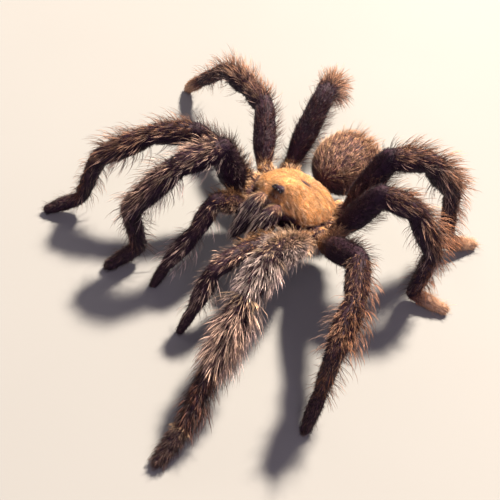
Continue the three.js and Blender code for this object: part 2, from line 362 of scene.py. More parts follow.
def show(name: str, mesh: Mesh) -> Piece:
    """Puts a mesh in the scene as an object at the origin.

    Args:
        name: The object's name.
        mesh: The mesh, in metres in the row frame.

    Returns:
        The piece.
    """
    piece = bpy.data.objects.new(name, mesh)
    bpy.context.scene.collection.objects.link(piece)
    return piece


def evaluated(piece: Piece, name: str) -> Mesh:
    """The mesh that a piece's modifiers make, as a plain mesh of its own.

    Args:
        piece: The piece.
        name: The new mesh's name.

    Returns:
        The mesh.
    """
    bpy.context.view_layer.update()
    graph = bpy.context.evaluated_depsgraph_get()
    mesh = bpy.data.meshes.new_from_object(piece.evaluated_get(graph), depsgraph=graph)
    mesh.name = name
    return mesh


# ---------------- node trees


class Graph:
    """Adds nodes to a shader or geometry tree."""

    def __init__(self, tree: bpy.types.NodeTree) -> None:
        """Starts from a tree."""
        self.tree = tree

    def node(self, kind: str, settings: dict | None = None, inputs: dict | None = None) -> Node:
        """Adds one node.

        Args:
            kind: The node's type.
            settings: Its own settings, which are set first.
            inputs: Values or links for its sockets, by name or place.

        Returns:
            The node.
        """
        node = self.tree.nodes.new(kind)
        for name, value in (settings or {}).items():
            setattr(node, name, value)
        self.fill(node, inputs or {})
        return node

    def fill(self, node: Node, inputs: dict) -> None:
        """Gives values or links to a node's sockets, by name or place."""
        for key, value in inputs.items():
            self.feed(self.socket(node.inputs, key), value)

    @staticmethod
    def socket(sockets: bpy.types.bpy_prop_collection, key: str | int) -> bpy.types.NodeSocket:
        """The socket in use that has this name or place.

        Args:
            sockets: A node's inputs or outputs.
            key: The name or place.

        Returns:
            The socket.
        """
        if isinstance(key, int):
            return sockets[key]
        return next(s for s in sockets if s.name == key and s.enabled)

    def feed(self, socket: bpy.types.NodeSocket, value: object) -> None:
        """Links a wire to a socket, or sets its value.

        Args:
            socket: The socket.
            value: A wire, a number, a vector or a colour.
        """
        if isinstance(value, Wire):
            self.tree.links.new(value.socket, socket)
        elif isinstance(value, (list, tuple)) and len(value) == 3 and socket.type == "RGBA":
            socket.default_value = (*value, 1.0)
        else:
            socket.default_value = value

    def out(self, node: Node, key: str | int = 0) -> "Wire":
        """The wire that leaves a node."""
        sockets = [s for s in node.outputs if s.enabled]
        return Wire(self, sockets[key] if isinstance(key, int) else self.socket(node.outputs, key))

    def wire(
        self, kind: str, settings: dict | None = None, inputs: dict | None = None, key: str | int = 0
    ) -> "Wire":
        """Adds a node and gives the wire that leaves it."""
        return self.out(self.node(kind, settings, inputs), key)

    def maths(self, operation: str, *values: object) -> "Wire":
        """A Math node on numbers."""
        return self.wire("ShaderNodeMath", {"operation": operation}, dict(enumerate(values)))

    def vector(self, operation: str, *values: object) -> "Wire":
        """A Vector Math node on vectors."""
        return self.wire("ShaderNodeVectorMath", {"operation": operation}, dict(enumerate(values)))

    def scaled(self, vector: "Wire", factor: object) -> "Wire":
        """A vector or a colour times a number."""
        return self.wire("ShaderNodeVectorMath", {"operation": "SCALE"}, {"Vector": vector, "Scale": factor})

    def blend(self, factor: object, first: object, second: object) -> "Wire":
        """A mix of two colours."""
        return self.wire("ShaderNodeMix", {"data_type": "RGBA"}, {"Factor": factor, "A": first, "B": second})

    def noise(self, vector: "Wire", scale: float, detail: float, key: str | int = 0) -> "Wire":
        """Soft random clouds, as a number from 0 to 1 or as the colour that the key asks for."""
        return self.wire("ShaderNodeTexNoise", {}, {"Vector": vector, "Scale": scale, "Detail": detail}, key)

    def named(self, name: str) -> "Wire":
        """A vector attribute of the geometry."""
        return self.wire("GeometryNodeInputNamedAttribute", {"data_type": "FLOAT_VECTOR"}, {"Name": name})

    def stored(self, points: "Wire", name: str, kind: str, domain: str, value: "Wire") -> "Wire":
        """The geometry with a value stored in an attribute of this kind and domain.

        Args:
            points: The geometry.
            name: The attribute's name.
            kind: Its data type.
            domain: What carries it.
            value: Its value.

        Returns:
            The geometry with the attribute.
        """
        settings = {"data_type": kind, "domain": domain}
        inputs = {"Geometry": points, "Name": name, "Value": value}
        return self.wire("GeometryNodeStoreNamedAttribute", settings, inputs)

    def chance(self, kind: str, low: float, high: float, seed: "Wire") -> "Wire":
        """A random number of this kind for each point."""
        span = {"Min": low, "Max": high, "Seed": seed}
        return self.wire("FunctionNodeRandomValue", {"data_type": kind}, span)


class Wire:
    """A number or a vector on its way between nodes, which Python's operators work on."""

    def __init__(self, graph: Graph, socket: bpy.types.NodeSocket) -> None:
        """Starts from the socket that it leaves."""
        self.graph = graph
        self.socket = socket

    def _do(self, operation: str, first: object, second: object) -> "Wire":
        """A Math node, or a Vector Math node where this wire carries a vector.

        Args:
            operation: What the node does.
            first: Its first input.
            second: Its second input.

        Returns:
            The wire that leaves it.
        """
        if self.socket.type == "VECTOR":
            return self.graph.vector(operation, first, second)
        return self.graph.maths(operation, first, second)

    def __add__(self, other: object) -> "Wire":
        """This plus other."""
        return self._do("ADD", self, other)

    __radd__ = __add__

    def __sub__(self, other: object) -> "Wire":
        """This less other."""
        return self._do("SUBTRACT", self, other)

    def __rsub__(self, other: object) -> "Wire":
        """Other less this."""
        return self._do("SUBTRACT", other, self)

    def __mul__(self, other: object) -> "Wire":
        """This times other."""
        return self._do("MULTIPLY", self, other)

    __rmul__ = __mul__


@dataclass(frozen=True)
class Streaks:
    """Light and dark streaks along the lie of the coat, which skin and hair share."""

    scale: float = 5000.0
    stretch: float = 0.13
    detail: float = 3.0
    span: Pair = (0.3, 0.7)

    def lay(self, graph: Graph, grain: Wire) -> Wire:
        """How light the streak is, from 0 to 1, where a point is across and along the coat.

        Args:
            graph: Where the nodes go.
            grain: Where a point is, across and along the coat.

        Returns:
            The streaks.
        """
        noise = graph.noise(grain * (1.0, self.stretch, 1.0), self.scale, self.detail)
        low, high = self.span
        return graph.wire("ShaderNodeMapRange", {}, {"Value": noise, "From Min": low, "From Max": high})


# ---------------- finishes


class Finish:
    """A surface finish: what it sets, and the nodes that vary it."""

    name = "finish"

    def material(self) -> bpy.types.Material:
        """Makes the material.

        Returns:
            The material.
        """
        material = bpy.data.materials.new(self.name)
        material.use_nodes = True
        graph = Graph(material.node_tree)
        shader = next(n for n in material.node_tree.nodes if n.type == "BSDF_PRINCIPLED")
        graph.fill(shader, self.looks(graph))
        return material

    def looks(self, graph: Graph) -> dict[str, object]:
        """What the shader's sockets get, by name."""
        raise NotImplementedError

    @staticmethod
    def mark(graph: Graph, name: str, key: str) -> Wire:
        """An attribute that the mesh carries, as "Vector" or "Fac"."""
        return graph.wire("ShaderNodeAttribute", {"attribute_name": name}, key=key)

    @staticmethod
    def clouds(graph: Graph, scale: float, detail: float) -> Wire:
        """Soft random clouds over the surface, from 0 to 1."""
        return graph.noise(graph.wire("ShaderNodeTexCoord", key="Object"), scale, detail)

    @staticmethod
    def raised(graph: Graph, strength: float, height: float, relief: Wire) -> Wire:
        """The normals of a surface with this relief, its height in metres."""
        return graph.wire("ShaderNodeBump", {}, {"Strength": strength, "Distance": height, "Height": relief})


@dataclass(frozen=True)
class CoatFinish(Finish):
    """Hair: dark at its root, lighter at its tip, no two tufts quite alike."""

    name: str = "coat_hair"
    roughness: float = 0.36
    roughening: float = 0.2
    specular: float = 0.25
    patch_scale: float = 420.0
    patch_depth: float = 0.30
    rise_span: Pair = (0.05, 0.85)

    def looks(self, graph: Graph) -> dict[str, object]:
        """What the shader's sockets get, by name.

        Args:
            graph: Where the nodes go.

        Returns:
            The values and wires.
        """
        tip = self.mark(graph, "tip", "Fac")
        strength = self.mark(graph, "strength", "Fac")
        root_tint = self.mark(graph, "root_tint", "Vector")
        tip_tint = self.mark(graph, "tip_tint", "Vector")
        patch = self.clouds(graph, self.patch_scale, 2.0)
        span = {"Value": tip, "From Min": self.rise_span[0], "From Max": self.rise_span[1]}
        rise = graph.wire("ShaderNodeMapRange", {"interpolation_type": "SMOOTHSTEP"}, span)
        shade = strength * ((patch - 0.5) * (2 * self.patch_depth) + 1.0)
        return {
            "Base Color": graph.scaled(graph.blend(rise, root_tint, tip_tint), shade),
            "Roughness": patch * self.roughening + self.roughness,
            "Specular IOR Level": self.specular,
        }


@dataclass(frozen=True)
class SkinFinish(Finish):
    """The skin between the hairs, with short flat fur as fine streaks along the lie."""

    name: str = "skin"
    roughness: float = 0.62
    roughening: float = 0.3
    specular: float = 0.12
    streaks: Streaks = Streaks()
    streak_depth: float = 1.1
    blotch_scale: float = 700.0
    blotch_depth: float = 0.8
    bump: float = 0.6
    bump_height: float = 0.00008

    def looks(self, graph: Graph) -> dict[str, object]:
        """What the shader's sockets get, by name.

        Args:
            graph: Where the nodes go.

        Returns:
            The values and wires.
        """
        hide = self.mark(graph, "hide_tint", "Vector")
        streak = self.streaks.lay(graph, self.mark(graph, "grain", "Vector"))
        blotch = self.clouds(graph, self.blotch_scale, 4.0)
        return {
            "Base Color": graph.scaled(
                hide, (streak - 0.5) * self.streak_depth + (blotch - 0.5) * self.blotch_depth + 1.0
            ),
            "Roughness": (blotch - 0.5) * self.roughening + self.roughness,
            "Normal": self.raised(graph, self.bump, self.bump_height, streak + blotch),
            "Specular IOR Level": self.specular,
        }


@dataclass(frozen=True)
class HornFinish(Finish):
    """Hard glossy horn, near black with a red glow and fine pores."""

    name: str = "horn"
    dark: Colour = (0.012, 0.006, 0.005)
    glow: Colour = (0.085, 0.020, 0.010)
    glow_scale: float = 500.0
    pore_scale: float = 4000.0
    roughness: float = 0.22
    roughening: float = 0.2
    bump: float = 0.15
    bump_height: float = 0.00003
    gloss: float = 0.3

    def looks(self, graph: Graph) -> dict[str, object]:
        """What the shader's sockets get, by name.

        Args:
            graph: Where the nodes go.

        Returns:
            The values and wires.
        """
        pores = self.clouds(graph, self.pore_scale, 2.0)
        return {
            "Base Color": graph.blend(self.clouds(graph, self.glow_scale, 3.0), self.dark, self.glow),
            "Roughness": (pores - 0.5) * self.roughening + self.roughness,
            "Normal": self.raised(graph, self.bump, self.bump_height, pores),
            "Coat Weight": self.gloss,
        }


@dataclass(frozen=True)
class EyeFinish(Finish):
    """A wet dark lens, with a paler one where the mesh is marked."""

    name: str = "eye_gloss"
    dark: Colour = (0.008, 0.007, 0.009)
    pale: Colour = (0.160, 0.145, 0.135)
    film_scale: float = 3000.0
    roughness: float = 0.05
    roughening: float = 0.06
    gloss: float = 0.8

    def looks(self, graph: Graph) -> dict[str, object]:
        """What the shader's sockets get, by name.

        Args:
            graph: Where the nodes go.

        Returns:
            The values and wires.
        """
        return {
            "Base Color": graph.blend(self.mark(graph, "pale", "Fac"), self.dark, self.pale),
            "Roughness": self.clouds(graph, self.film_scale, 2.0) * self.roughening + self.roughness,
            "Coat Weight": self.gloss,
            "Coat Roughness": self.roughness,
        }


@dataclass(frozen=True)
class FloorFinish(Finish):
    """A plain pale matt floor."""

    name: str = "pale_floor"
    pale: Colour = (0.235, 0.229, 0.223)
    shade: Colour = (0.212, 0.206, 0.200)
    cloud_scale: float = 9.0
    roughness: float = 0.75
    roughening: float = 0.1

    def looks(self, graph: Graph) -> dict[str, object]:
        """What the shader's sockets get, by name.

        Args:
            graph: Where the nodes go.

        Returns:
            The values and wires.
        """
        cloud = self.clouds(graph, self.cloud_scale, 3.0)
        return {
            "Base Color": graph.blend(cloud, self.pale, self.shade),
            "Roughness": cloud * self.roughening + self.roughness,
        }


# ---------------- the lie of the coat


@dataclass
class Coating:
    """What the coat and the skin are like at each of some points of the skin."""

    hide_tint: Array
    root_tint: Array
    under_tip: Array
    guard_tip: Array
    lie: Array
    under: Array
    guard: Array
    long: Array
    tone: Array
    wrap: Array
    grain: Array

    @classmethod
    def names(cls) -> list[str]:
        """The names of the fields, which the mesh's attributes share."""
        return [item.name for item in fields(cls)]

    @classmethod
    def blank(cls, count: int) -> "Coating":
        """A coating for this many points, to be filled in."""
        return cls(*(np.zeros((count, 3)) for _ in cls.names()))

    def take(self, chosen: Array, part: "Coating") -> None:
        """Fills in some of the points from a coating of their own."""
        for name in self.names():
            getattr(self, name)[chosen] = getattr(part, name)

    def store(self, mesh: Mesh, chosen: Array | None = None) -> None:
        """Writes the coating to a mesh, as one attribute for each field.

        Args:
            mesh: The mesh.
            chosen: Which points the mesh has, or None for all.
        """
        for name in self.names():
            values = getattr(self, name)
            values = values if chosen is None else values[chosen]
            attach(mesh, name, "FLOAT_VECTOR", values.astype(np.float32))


def habit(length: Values, stand: Values, density: Values) -> Array:
    """How one layer of the coat grows at each point.

    Args:
        length: The tufts' length in mm.
        stand: How far they stand up from the skin, in degrees.
        density: Tufts for each square millimetre.

    Returns:
        The three numbers for each point.
    """
    return columns(length, stand, density)


def contrast(least: Values, most: Values, streaked: float) -> Array:
    """How the tufts differ in shade at each point.

    Args:
        least: The darkest tuft's shade, as a share of its tint.
        most: The lightest tuft's shade.
        streaked: How much of the difference goes by the streaks of the coat, the rest being chance.

    Returns:
        The darkest shade, the range and the streaks' share for each point.
    """
    return columns(least, most - least, streaked)


def rolled_out(angle: Array, share: Array, middle: float = 0.5, half: float = 0.48) -> Array:
    """Where points of a limb or body lie on a flat map, as if its surface were rolled out.

    Args:
        angle: Each point's turn from the back, in radians.
        share: How far along the limb or body each point is, from 0 to 1.
        middle: Where the back lies across the map.
        half: Half of the width that the surface takes up.

    Returns:
        The place on the map for each point.
    """
    return columns(middle + half * angle / math.pi, 0.01 + 0.98 * share, 0.0)


def seen_flat(turn: Array, reach: Array, middle: Values = 0.5, half: float = 0.485) -> Array:
    """Where points of a low dome lie on a flat map, as if seen from straight above.

    Args:
        turn: Each point's turn from straight ahead, in radians.
        reach: How far out each point is, from 0 in the middle to 1 at the edge.
        middle: Where the dome's middle lies across the map.
        half: Half of the width that the dome takes up.

    Returns:
        The place on the map for each point.
    """
    return columns(middle + half * reach * np.sin(turn), 0.5 + 0.485 * reach * np.cos(turn), 0.0)


@dataclass(frozen=True)
class PartCoat:
    """One limb segment's flesh radii in mm, the habits of its three layers of coat, and its tints.

    The radii are at the segment's start, belly and end. A habit is a length in mm, a stand in degrees
    and the tufts for each square mm.
    """

    flesh: Triple
    under: Triple
    guard: Triple
    long: Triple
    back_tip: Colour = Tint.CHESTNUT
    side_tip: Colour = Tint.INK
    guard_tip: Colour = Tint.FAWN
    strand_tip: Colour = Tint.FROST
    root: Colour = Tint.INK
    hide: Colour = Tint.INK


LEG_COATS = {
    Part.FEMUR: PartCoat(
        (1.42, 2.30, 2.06),
        (0.65, 30, 8.0),
        (1.40, 18, 4.0),
        (2.5, 48, 0.55),
        back_tip=Tint.UMBER,
        guard_tip=Tint.CHESTNUT,
    ),
    Part.PATELLA: PartCoat((1.92, 2.18, 1.98), (0.80, 26, 6.0), (2.20, 18, 3.6), (3.2, 40, 0.35)),
    Part.TIBIA: PartCoat((1.82, 2.10, 1.74), (0.85, 26, 6.0), (2.80, 20, 3.2), (3.9, 44, 0.50)),
    Part.METATARSUS: PartCoat(
        (1.52, 1.42, 1.26),
        (0.80, 26, 7.0),
        (1.90, 20, 3.4),
        (3.2, 44, 0.45),
        guard_tip=Tint.RUST,
    ),
    Part.TARSUS: PartCoat(
        (1.26, 1.32, 0.98),
        (0.65, 34, 11.0),
        (1.15, 28, 7.0),
        (1.8, 45, 0.15),
        back_tip=Tint.FAWN,
        side_tip=Tint.CHESTNUT,
        guard_tip=Tint.LINEN,
        root=Tint.CHESTNUT,
        hide=Tint.CHESTNUT,
    ),
}


# ---------------- limbs


@dataclass(frozen=True)
class LimbPlan:
    """Where a pair of limbs is rooted, how long and stout its segments are, and its pale collar, in mm."""

    root: Pair
    lengths: tuple[float, ...]
    stoutness: float
    collar: float
    parts: tuple[Part, ...] = tuple(Part)


LIMB_PLANS = {
    "palp": LimbPlan(
        (5.0, -8.0), (9.8, 6.0, 7.4, 5.8), 0.76, 1.2, (Part.FEMUR, Part.PATELLA, Part.TIBIA, Part.TARSUS)
    ),
    "leg_1": LimbPlan((7.9, -6.4), (14.2, 7.6, 11.4, 9.8, 7.0), 1.0, 1.6),
    "leg_2": LimbPlan((9.5, -3.0), (13.4, 7.2, 10.4, 9.8, 7.2), 0.95, 3.4),
    "leg_3": LimbPlan((9.4, 1.2), (12.0, 6.2, 8.8, 11.0, 7.2), 0.95, 1.1),
    "leg_4": LimbPlan((7.2, 5.8), (14.4, 6.8, 10.4, 13.4, 8.2), 0.97, 0.8),
}

# Azimuth turns outwards from straight ahead and pitch is up from level, in degrees. The last
# segment's pitch follows from the height that is left above the floor.
STANCE = {
    (Side.RIGHT, "palp"): ((-4, 1, 8, 14), (36, -58, -46)),
    (Side.RIGHT, "leg_1"): ((0, 14, 24, 23, 14), (65, -9, -48, -103)),
    (Side.RIGHT, "leg_2"): ((46, 37, 31, 31, 33), (42, -7, -29, -73)),
    (Side.RIGHT, "leg_3"): ((130, 110, 102, 97, 97), (31, -8, -10, -46)),
    (Side.RIGHT, "leg_4"): ((162, 152, 148, 145, 145), (46, -22, -42, -38)),
    (Side.LEFT, "palp"): ((-3, -1, 0, 0), (15, -6, -66)),
    (Side.LEFT, "leg_1"): ((12, 20, 22, 22, 10), (33, -20, -30, -35)),
    (Side.LEFT, "leg_2"): ((66, 40, 26, 25, 24), (35, -8, -6, -90)),
    (Side.LEFT, "leg_3"): ((118, 113, 115, 115, 117), (66, -4, -55, -93)),
    (Side.LEFT, "leg_4"): ((130, 136, 155, 138, 157), (74, 2, -48, -78)),
}


@dataclass
class Segment:
    """One segment of a limb: its ends, its own directions and its radii."""

    part: Part
    start: Array
    along: Array
    across: Array
    length: float
    radii: Triple
    tip: bool
    belly: float = 0.45
    groove_width: float = 0.55
    groove_depth: float = 0.14

    @property
    def up(self) -> Array:
        """The direction of the segment's back."""
        return np.cross(self.along, self.across)

    def radius(self, t: Values) -> Array:
        """The flesh radius at a share of the length, with a groove at each joint.

        Args:
            t: The share of the length.

        Returns:
            The radius.
        """
        start, middle, end = self.radii
        round_out = start + (middle - start) * onset(t, 0.0, self.belly)
        round_in = middle + (end - middle) * onset(t, self.belly, 1 - self.belly)
        radius = np.where(t < self.belly, round_out, round_in)
        groove = hill(t * self.length, 0.0, self.groove_width)
        if not self.tip:
            groove = groove + hill((1 - t) * self.length, 0.0, self.groove_width)
        return radius * (1 - self.groove_depth * groove)


@dataclass(frozen=True)
class Marks:
    """Where each point of a segment lies, and how strongly each marking shows there, up to 1."""

    share: Array
    angle: Array
    back: Array
    crest: Array
    rearward: Array
    ring: Array
    collar: Array
    frill: Array
    gap: Array
    shade: Array


@dataclass
class Limb:
    """A leg or a palp, with the chain of its segments."""

    side: Side
    kind: str
    tip_radius: float = 1.25
    tip_place: float = 0.86
    foot_dip: float = 0.25
    root_height: float = 9.8
    breadth: float = 0.95
    cap_turns: tuple[float, ...] = (76, 54, 34, 16)
    # The direction of the key lamp. The side of a limb that faces it grows longer fringes, and its rust tips
    # there are partly a painted sunlit glow.
    sunny: Triple = (0.25, 0.90, 0.35)
    crest_band: Pair = (0.58, 0.32)
    near_crest_band: Pair = (0.50, 0.36)
    ring_hill: Pair = (0.5, 0.5)
    shade_hill: Pair = (1.9, 0.8)
    gap_width: float = 0.7
    frill_pitch: float = 1.3
    sides: int = 20
    rows: int = 15
    segments: list[Segment] = field(init=False)

    def __post_init__(self) -> None:
        """Works out where each segment is."""
        azimuths, pitches = STANCE[self.side, self.kind]
        sign = self.side.value
        start = np.array([sign * self.plan.root[0], self.plan.root[1], self.root_height])
        self.segments = []
        for index, length in enumerate(self.plan.lengths):
            tip = index == len(self.plan.lengths) - 1
            turn = math.radians(azimuths[index])
            pitch = self._pitch_to_floor(start[2], length) if tip else math.radians(pitches[index])
            level, rise = math.cos(pitch), math.sin(pitch)
            along = np.array([sign * math.sin(turn) * level, -math.cos(turn) * level, rise])
            across = np.array([math.cos(turn), sign * math.sin(turn), 0.0])
            part = self.plan.parts[index]
            radii = tuple(r * self.plan.stoutness for r in LEG_COATS[part].flesh)
            self.segments.append(Segment(part, start, along, across, length, radii, tip))
            start = start + along * length

    @property
    def plan(self) -> LimbPlan:
        """The sizes that this limb shares with its pair."""
        return LIMB_PLANS[self.kind]

    @property
    def name(self) -> str:
        """The limb's name, with its side."""
        return f"{self.kind}_{self.side.name.lower()}"

    @property
    def near(self) -> bool:
        """Whether this is the first left leg, whose coat is the fullest and palest."""
        return self.side is Side.LEFT and self.kind == "leg_1"

    @property
    def palp(self) -> bool:
        """Whether this is a palp."""
        return self.kind == "palp"

    @property
    def pale(self) -> bool:
        """Whether this is one of the front limbs, which are greyer than the others."""
        return self.kind in ("palp", "leg_1")

    @property
    def hind(self) -> bool:
        """Whether this is one of the hind legs, whose feet are paler: partly worn hair, partly painted
        sunlight.
        """
        return self.kind in ("leg_3", "leg_4")

    def _pitch_to_floor(self, height: float, length: float) -> float:
        """The last segment's pitch, which sets its rounded tip down on the floor."""
        drop = height - self.tip_radius * self.plan.stoutness + self.foot_dip
        return -math.asin(drop / (self.tip_place * length))

    def shapes(self) -> list[Shape]:
        """The limb's segments as closed tubes with rounded ends, which overlap at the joints.

        Returns:
            The closed shapes.
        """
        made = []
        for segment in self.segments:
            reach = segment.length * (self.tip_place if segment.tip else 1.0)
            near, far = float(segment.radius(0.0)), float(segment.radius(1.0))
            caps = np.radians(self.cap_turns)
            places = np.concatenate(
                [-near * np.sin(caps), np.linspace(0, reach, self.rows), reach + far * np.sin(caps[::-1])]
            )
            shares = np.clip(places / reach, 0, 1)
            sizes = segment.radius(shares)
            sizes[: len(caps)] *= np.cos(caps)
            sizes[-len(caps) :] *= np.cos(caps[::-1])
            path = segment.start + places[:, None] * segment.along
            made.append(tube(path, segment.across, segment.up, sizes * self.breadth, sizes, self.sides))
        return made

    def paint(self, points: Array, normals: Array) -> Coating:
        """The coating at points of this limb.

        Args:
            points: The points, in the body's own frame.
            normals: The skin's normals there.

        Returns:
            The coating.
        """
        scores, places = [], []
        for segment in self.segments:
            offset = points - segment.start
            s = np.clip(offset @ segment.along, 0, segment.length)
            gap = np.linalg.norm(offset - s[:, None] * segment.along, axis=1)
            scores.append(gap / segment.radius(s / segment.length))
            places.append(s)
        owner = np.argmin(np.array(scores), axis=0)
        coating = Coating.blank(len(points))
        total = sum(self.plan.lengths)
        done = 0.0
        for index, segment in enumerate(self.segments):
            chosen = owner == index
            if chosen.any():
                s = places[index][chosen]
                painted = self._paint_segment(segment, points[chosen], normals[chosen], s, done, total)
                coating.take(chosen, painted)
            done += segment.length
        return coating

    def _paint_segment(
        self, segment: Segment, points: Array, normals: Array, s: Array, done: float, total: float
    ) -> Coating:
        """The coating at points of one segment.

        Args:
            segment: The segment.
            points: The points, in the body's own frame.
            normals: The skin's normals there.
            s: How far along the segment each point is.
            done: The length of the segments before this one.
            total: The length of the whole limb.

        Returns:
            The coating.
        """
        coat, stout = LEG_COATS[segment.part], self.plan.stoutness
        at = self._marks(segment, points, normals, s)
        thigh, knee = segment.part is Part.FEMUR, segment.part in (Part.PATELLA, Part.TIBIA)

        fan = (0.5 if self.near and knee else 0.15) * np.sin(at.angle) + 0.12 * np.sin(at.angle * 3.0 + done)
        lie = segment.along + fan[:, None] * segment.across
        lie = lie - (0.9 if thigh else 0.30) * (1 - at.back)[:, None] * segment.up

        full = 1.15 if self.near else 1.0 if self.palp and thigh else 0.76
        short = 0.6 if self._velvet(segment) else 1.0
        length = full * coat.guard[0] * (0.85 + 0.3 * smooth(at.share * 1.4)) * (1 - 0.3 * at.collar)
        length = length * (1 + 0.4 * at.rearward) * short * (1 + 0.3 * at.ring)
        if not segment.tip:
            length = length * (1 - (0.2 if self.near else 0.45) * smooth(1 - (segment.length - s) / 1.6))

        sparse = (0.8 if self.near or self.palp else 0.0) if thigh else (0.6 if self.near else 0.15)
        dense = 1.8 if self.palp and thigh else 1.35 if self.near else 1.0
        bare = (1 - (0.25 if self.near else 0.4) * at.gap) * (1 - 0.6 * at.shade) * (1 + 1.2 * at.collar)
        rear_strands = 3.6 if self.hind else 2.2
        least, most = self._tones(segment)
        return Coating(
            **self._tints(segment, at),
            lie=lie,
            under=habit(
                coat.under[0] * stout * (1.2 if self.near else 1.0),
                coat.under[1],
                coat.under[2] * (0.6 + 0.4 * at.crest),
            ),
            guard=habit(
                length * stout,
                coat.guard[1] + 4 * at.back + 18 * at.ring + 10 * at.rearward,
                coat.guard[2] * dense * (sparse + (1 - sparse) * at.crest) * bare,
            ),
            long=habit(
                coat.long[0] * stout * (1 + 0.3 * at.rearward),
                coat.long[1],
                coat.long[2] * (0.8 + 1.0 * at.crest + rear_strands * at.rearward) * bare,
            ),
            # The gold frills' tufts are lighter: their own pale hair, and painted light where the shell
            # shades them.
            tone=contrast(least + 1.3 * at.frill, most, 0.2),
            wrap=rolled_out(at.angle, (done + s) / total),
            grain=columns(at.angle * 0.6 * segment.radii[1] * MM, (done + s) * MM, 0.0),
        )

    def _marks(self, segment: Segment, points: Array, normals: Array, s: Array) -> Marks:
        """Where the points of one segment lie, and how strongly its markings show there.

        Args:
            segment: The segment.
            points: The points, in the body's own frame.
            normals: The skin's normals there.
            s: How far along the segment each point is.

        Returns:
            The markings.
        """
        offset = points - segment.start
        angle = np.arctan2(offset @ segment.across, offset @ segment.up)
        back = 0.5 + 0.5 * np.cos(angle)
        thigh = segment.part is Part.FEMUR
        collar = thigh * hill(s, 0.0, self.plan.collar) * smooth(2.6 * back)
        return Marks(
            share=s / segment.length,
            angle=angle,
            back=back,
            crest=onset(back, *(self.near_crest_band if self.near else self.crest_band)),
            # How far each point faces the key lamp. This places the real longer rear fringes and also the
            # painted sunlit glow.
            rearward=smooth(0.45 + 0.6 * normals @ np.array(self.sunny)),
            ring=(not thigh) * hill(s, *self.ring_hill),
            collar=collar,
            frill=collar * (0.6 + 0.4 * np.cos(2 * math.pi * s / self.frill_pitch)),
            gap=(not segment.tip) * hill(s, segment.length, self.gap_width),
            shade=(self.near and segment.part is Part.TIBIA) * hill(s, *self.shade_hill),
        )

    def _velvet(self, segment: Segment) -> bool:
        """Whether the segment is one of the short-haired ones above a hind foot."""
        return self.hind and segment.part is Part.METATARSUS

    def _sole(self, segment: Segment) -> bool:
        """Whether the segment is a dark one that walks on its pads."""
        return segment.part is Part.TARSUS or (self.kind == "leg_1" and segment.part is Part.METATARSUS)

    def _tones(self, segment: Segment) -> Pair:
        """The darkest and the lightest tuft's shade on a segment, as shares of its tint.

        Args:
            segment: The segment.

        Returns:
            The two shades.
        """
        # The hind feet's tufts are lighter, partly as painted sunlight.
        if self.hind and segment.part is Part.TARSUS:
            return 1.05, 2.0
        if self._velvet(segment):
            return 0.7, 3.4
        if self._sole(segment):
            return 0.3, 2.8
        if self.near:
            return 0.5, 4.6
        if self.hind:
            return 0.5, 2.9
        return 0.42, 4.6 if self.pale and segment.part is not Part.FEMUR else 2.8

    def _tints(self, segment: Segment, at: Marks) -> dict[str, Array]:
        """The tints of the skin and the tufts at points of one segment, by the coating's fields.

        Args:
            segment: The segment.
            at: Its points and markings.

        Returns:
            The tints by field.
        """
        coat, part = LEG_COATS[segment.part], segment.part
        thigh, knee = part is Part.FEMUR, part in (Part.PATELLA, Part.TIBIA)
        rusty, golden = mixed(Tint.CHESTNUT, Tint.RUST, 0.5), mixed(Tint.GOLD, Tint.HONEY, 0.5)
        root, hide = coat.root, coat.hide
        under = mixed(mixed(coat.side_tip, coat.back_tip, at.crest), golden, at.frill)
        guard = mixed(coat.strand_tip, coat.guard_tip, at.crest)
        # Rust tips all round, with more on the side that faces the key lamp: real rust hair, plus a painted
        # sunlit glow there.
        guard = mixed(guard, Tint.RUST, (0.2 if self.pale else 0.85) * (0.4 + 0.6 * at.rearward))
        if knee and not self.pale:
            # Knees get rusty under-hair on the back and on the side facing the key lamp; on that side it is
            # partly a painted sunlit glow.
            under = mixed(under, rusty, 0.7 * np.maximum(at.crest, at.rearward))
        if self._velvet(segment):
            under = mixed(rusty, Tint.INK, 0.5 * (1 - at.back))
        # The hind feet pale towards the tip: partly worn hair, partly painted sunlight.
        if self.hind and part is Part.TARSUS:
            worn = onset(at.share, 0.0, 0.75)
            under = mixed(rusty, mixed(Tint.FAWN, Tint.GOLD, 0.5), worn)
            guard = mixed(Tint.CHESTNUT, mixed(Tint.FAWN, Tint.GOLD, 0.3), worn)
            root = mixed(Tint.CHESTNUT, Tint.FAWN, 0.8 * worn)
            hide = mixed(Tint.UMBER, Tint.FAWN, 0.7 * worn)
        elif self._sole(segment):
            under = mixed(under, Tint.UMBER, 0.7)
            guard = mixed(guard, Tint.CHESTNUT, 0.85)
            root, hide = Tint.INK, Tint.INK
        elif self.palp and part is Part.TIBIA:
            under = mixed(under, Tint.INK, 0.6)
            guard = mixed(guard, Tint.SILVER, 0.3 * at.crest)
        elif self.pale:
            under = mixed(under, Tint.MAUVE, (0.6 if self.near else 0.45) * at.crest)
            if self.palp and thigh:
                guard = mixed(Tint.FAWN, Tint.GOLD, 0.7 * at.crest)
                under = mixed(under, Tint.CHESTNUT, 0.7)
            elif self.near or not thigh:
                silvery = 0.2 if part is Part.TIBIA else 0.6
                guard = mixed(guard, Tint.SILVER, (silvery if self.near else 0.1) * at.crest)
            if self.near and thigh:
                # A painted golden highlight along the very top of the near thigh.
                guard = mixed(guard, Tint.HONEY, 0.5 * onset(at.back, 0.8, 0.2))
                under = mixed(under, Tint.ASH, 0.6 * at.crest)
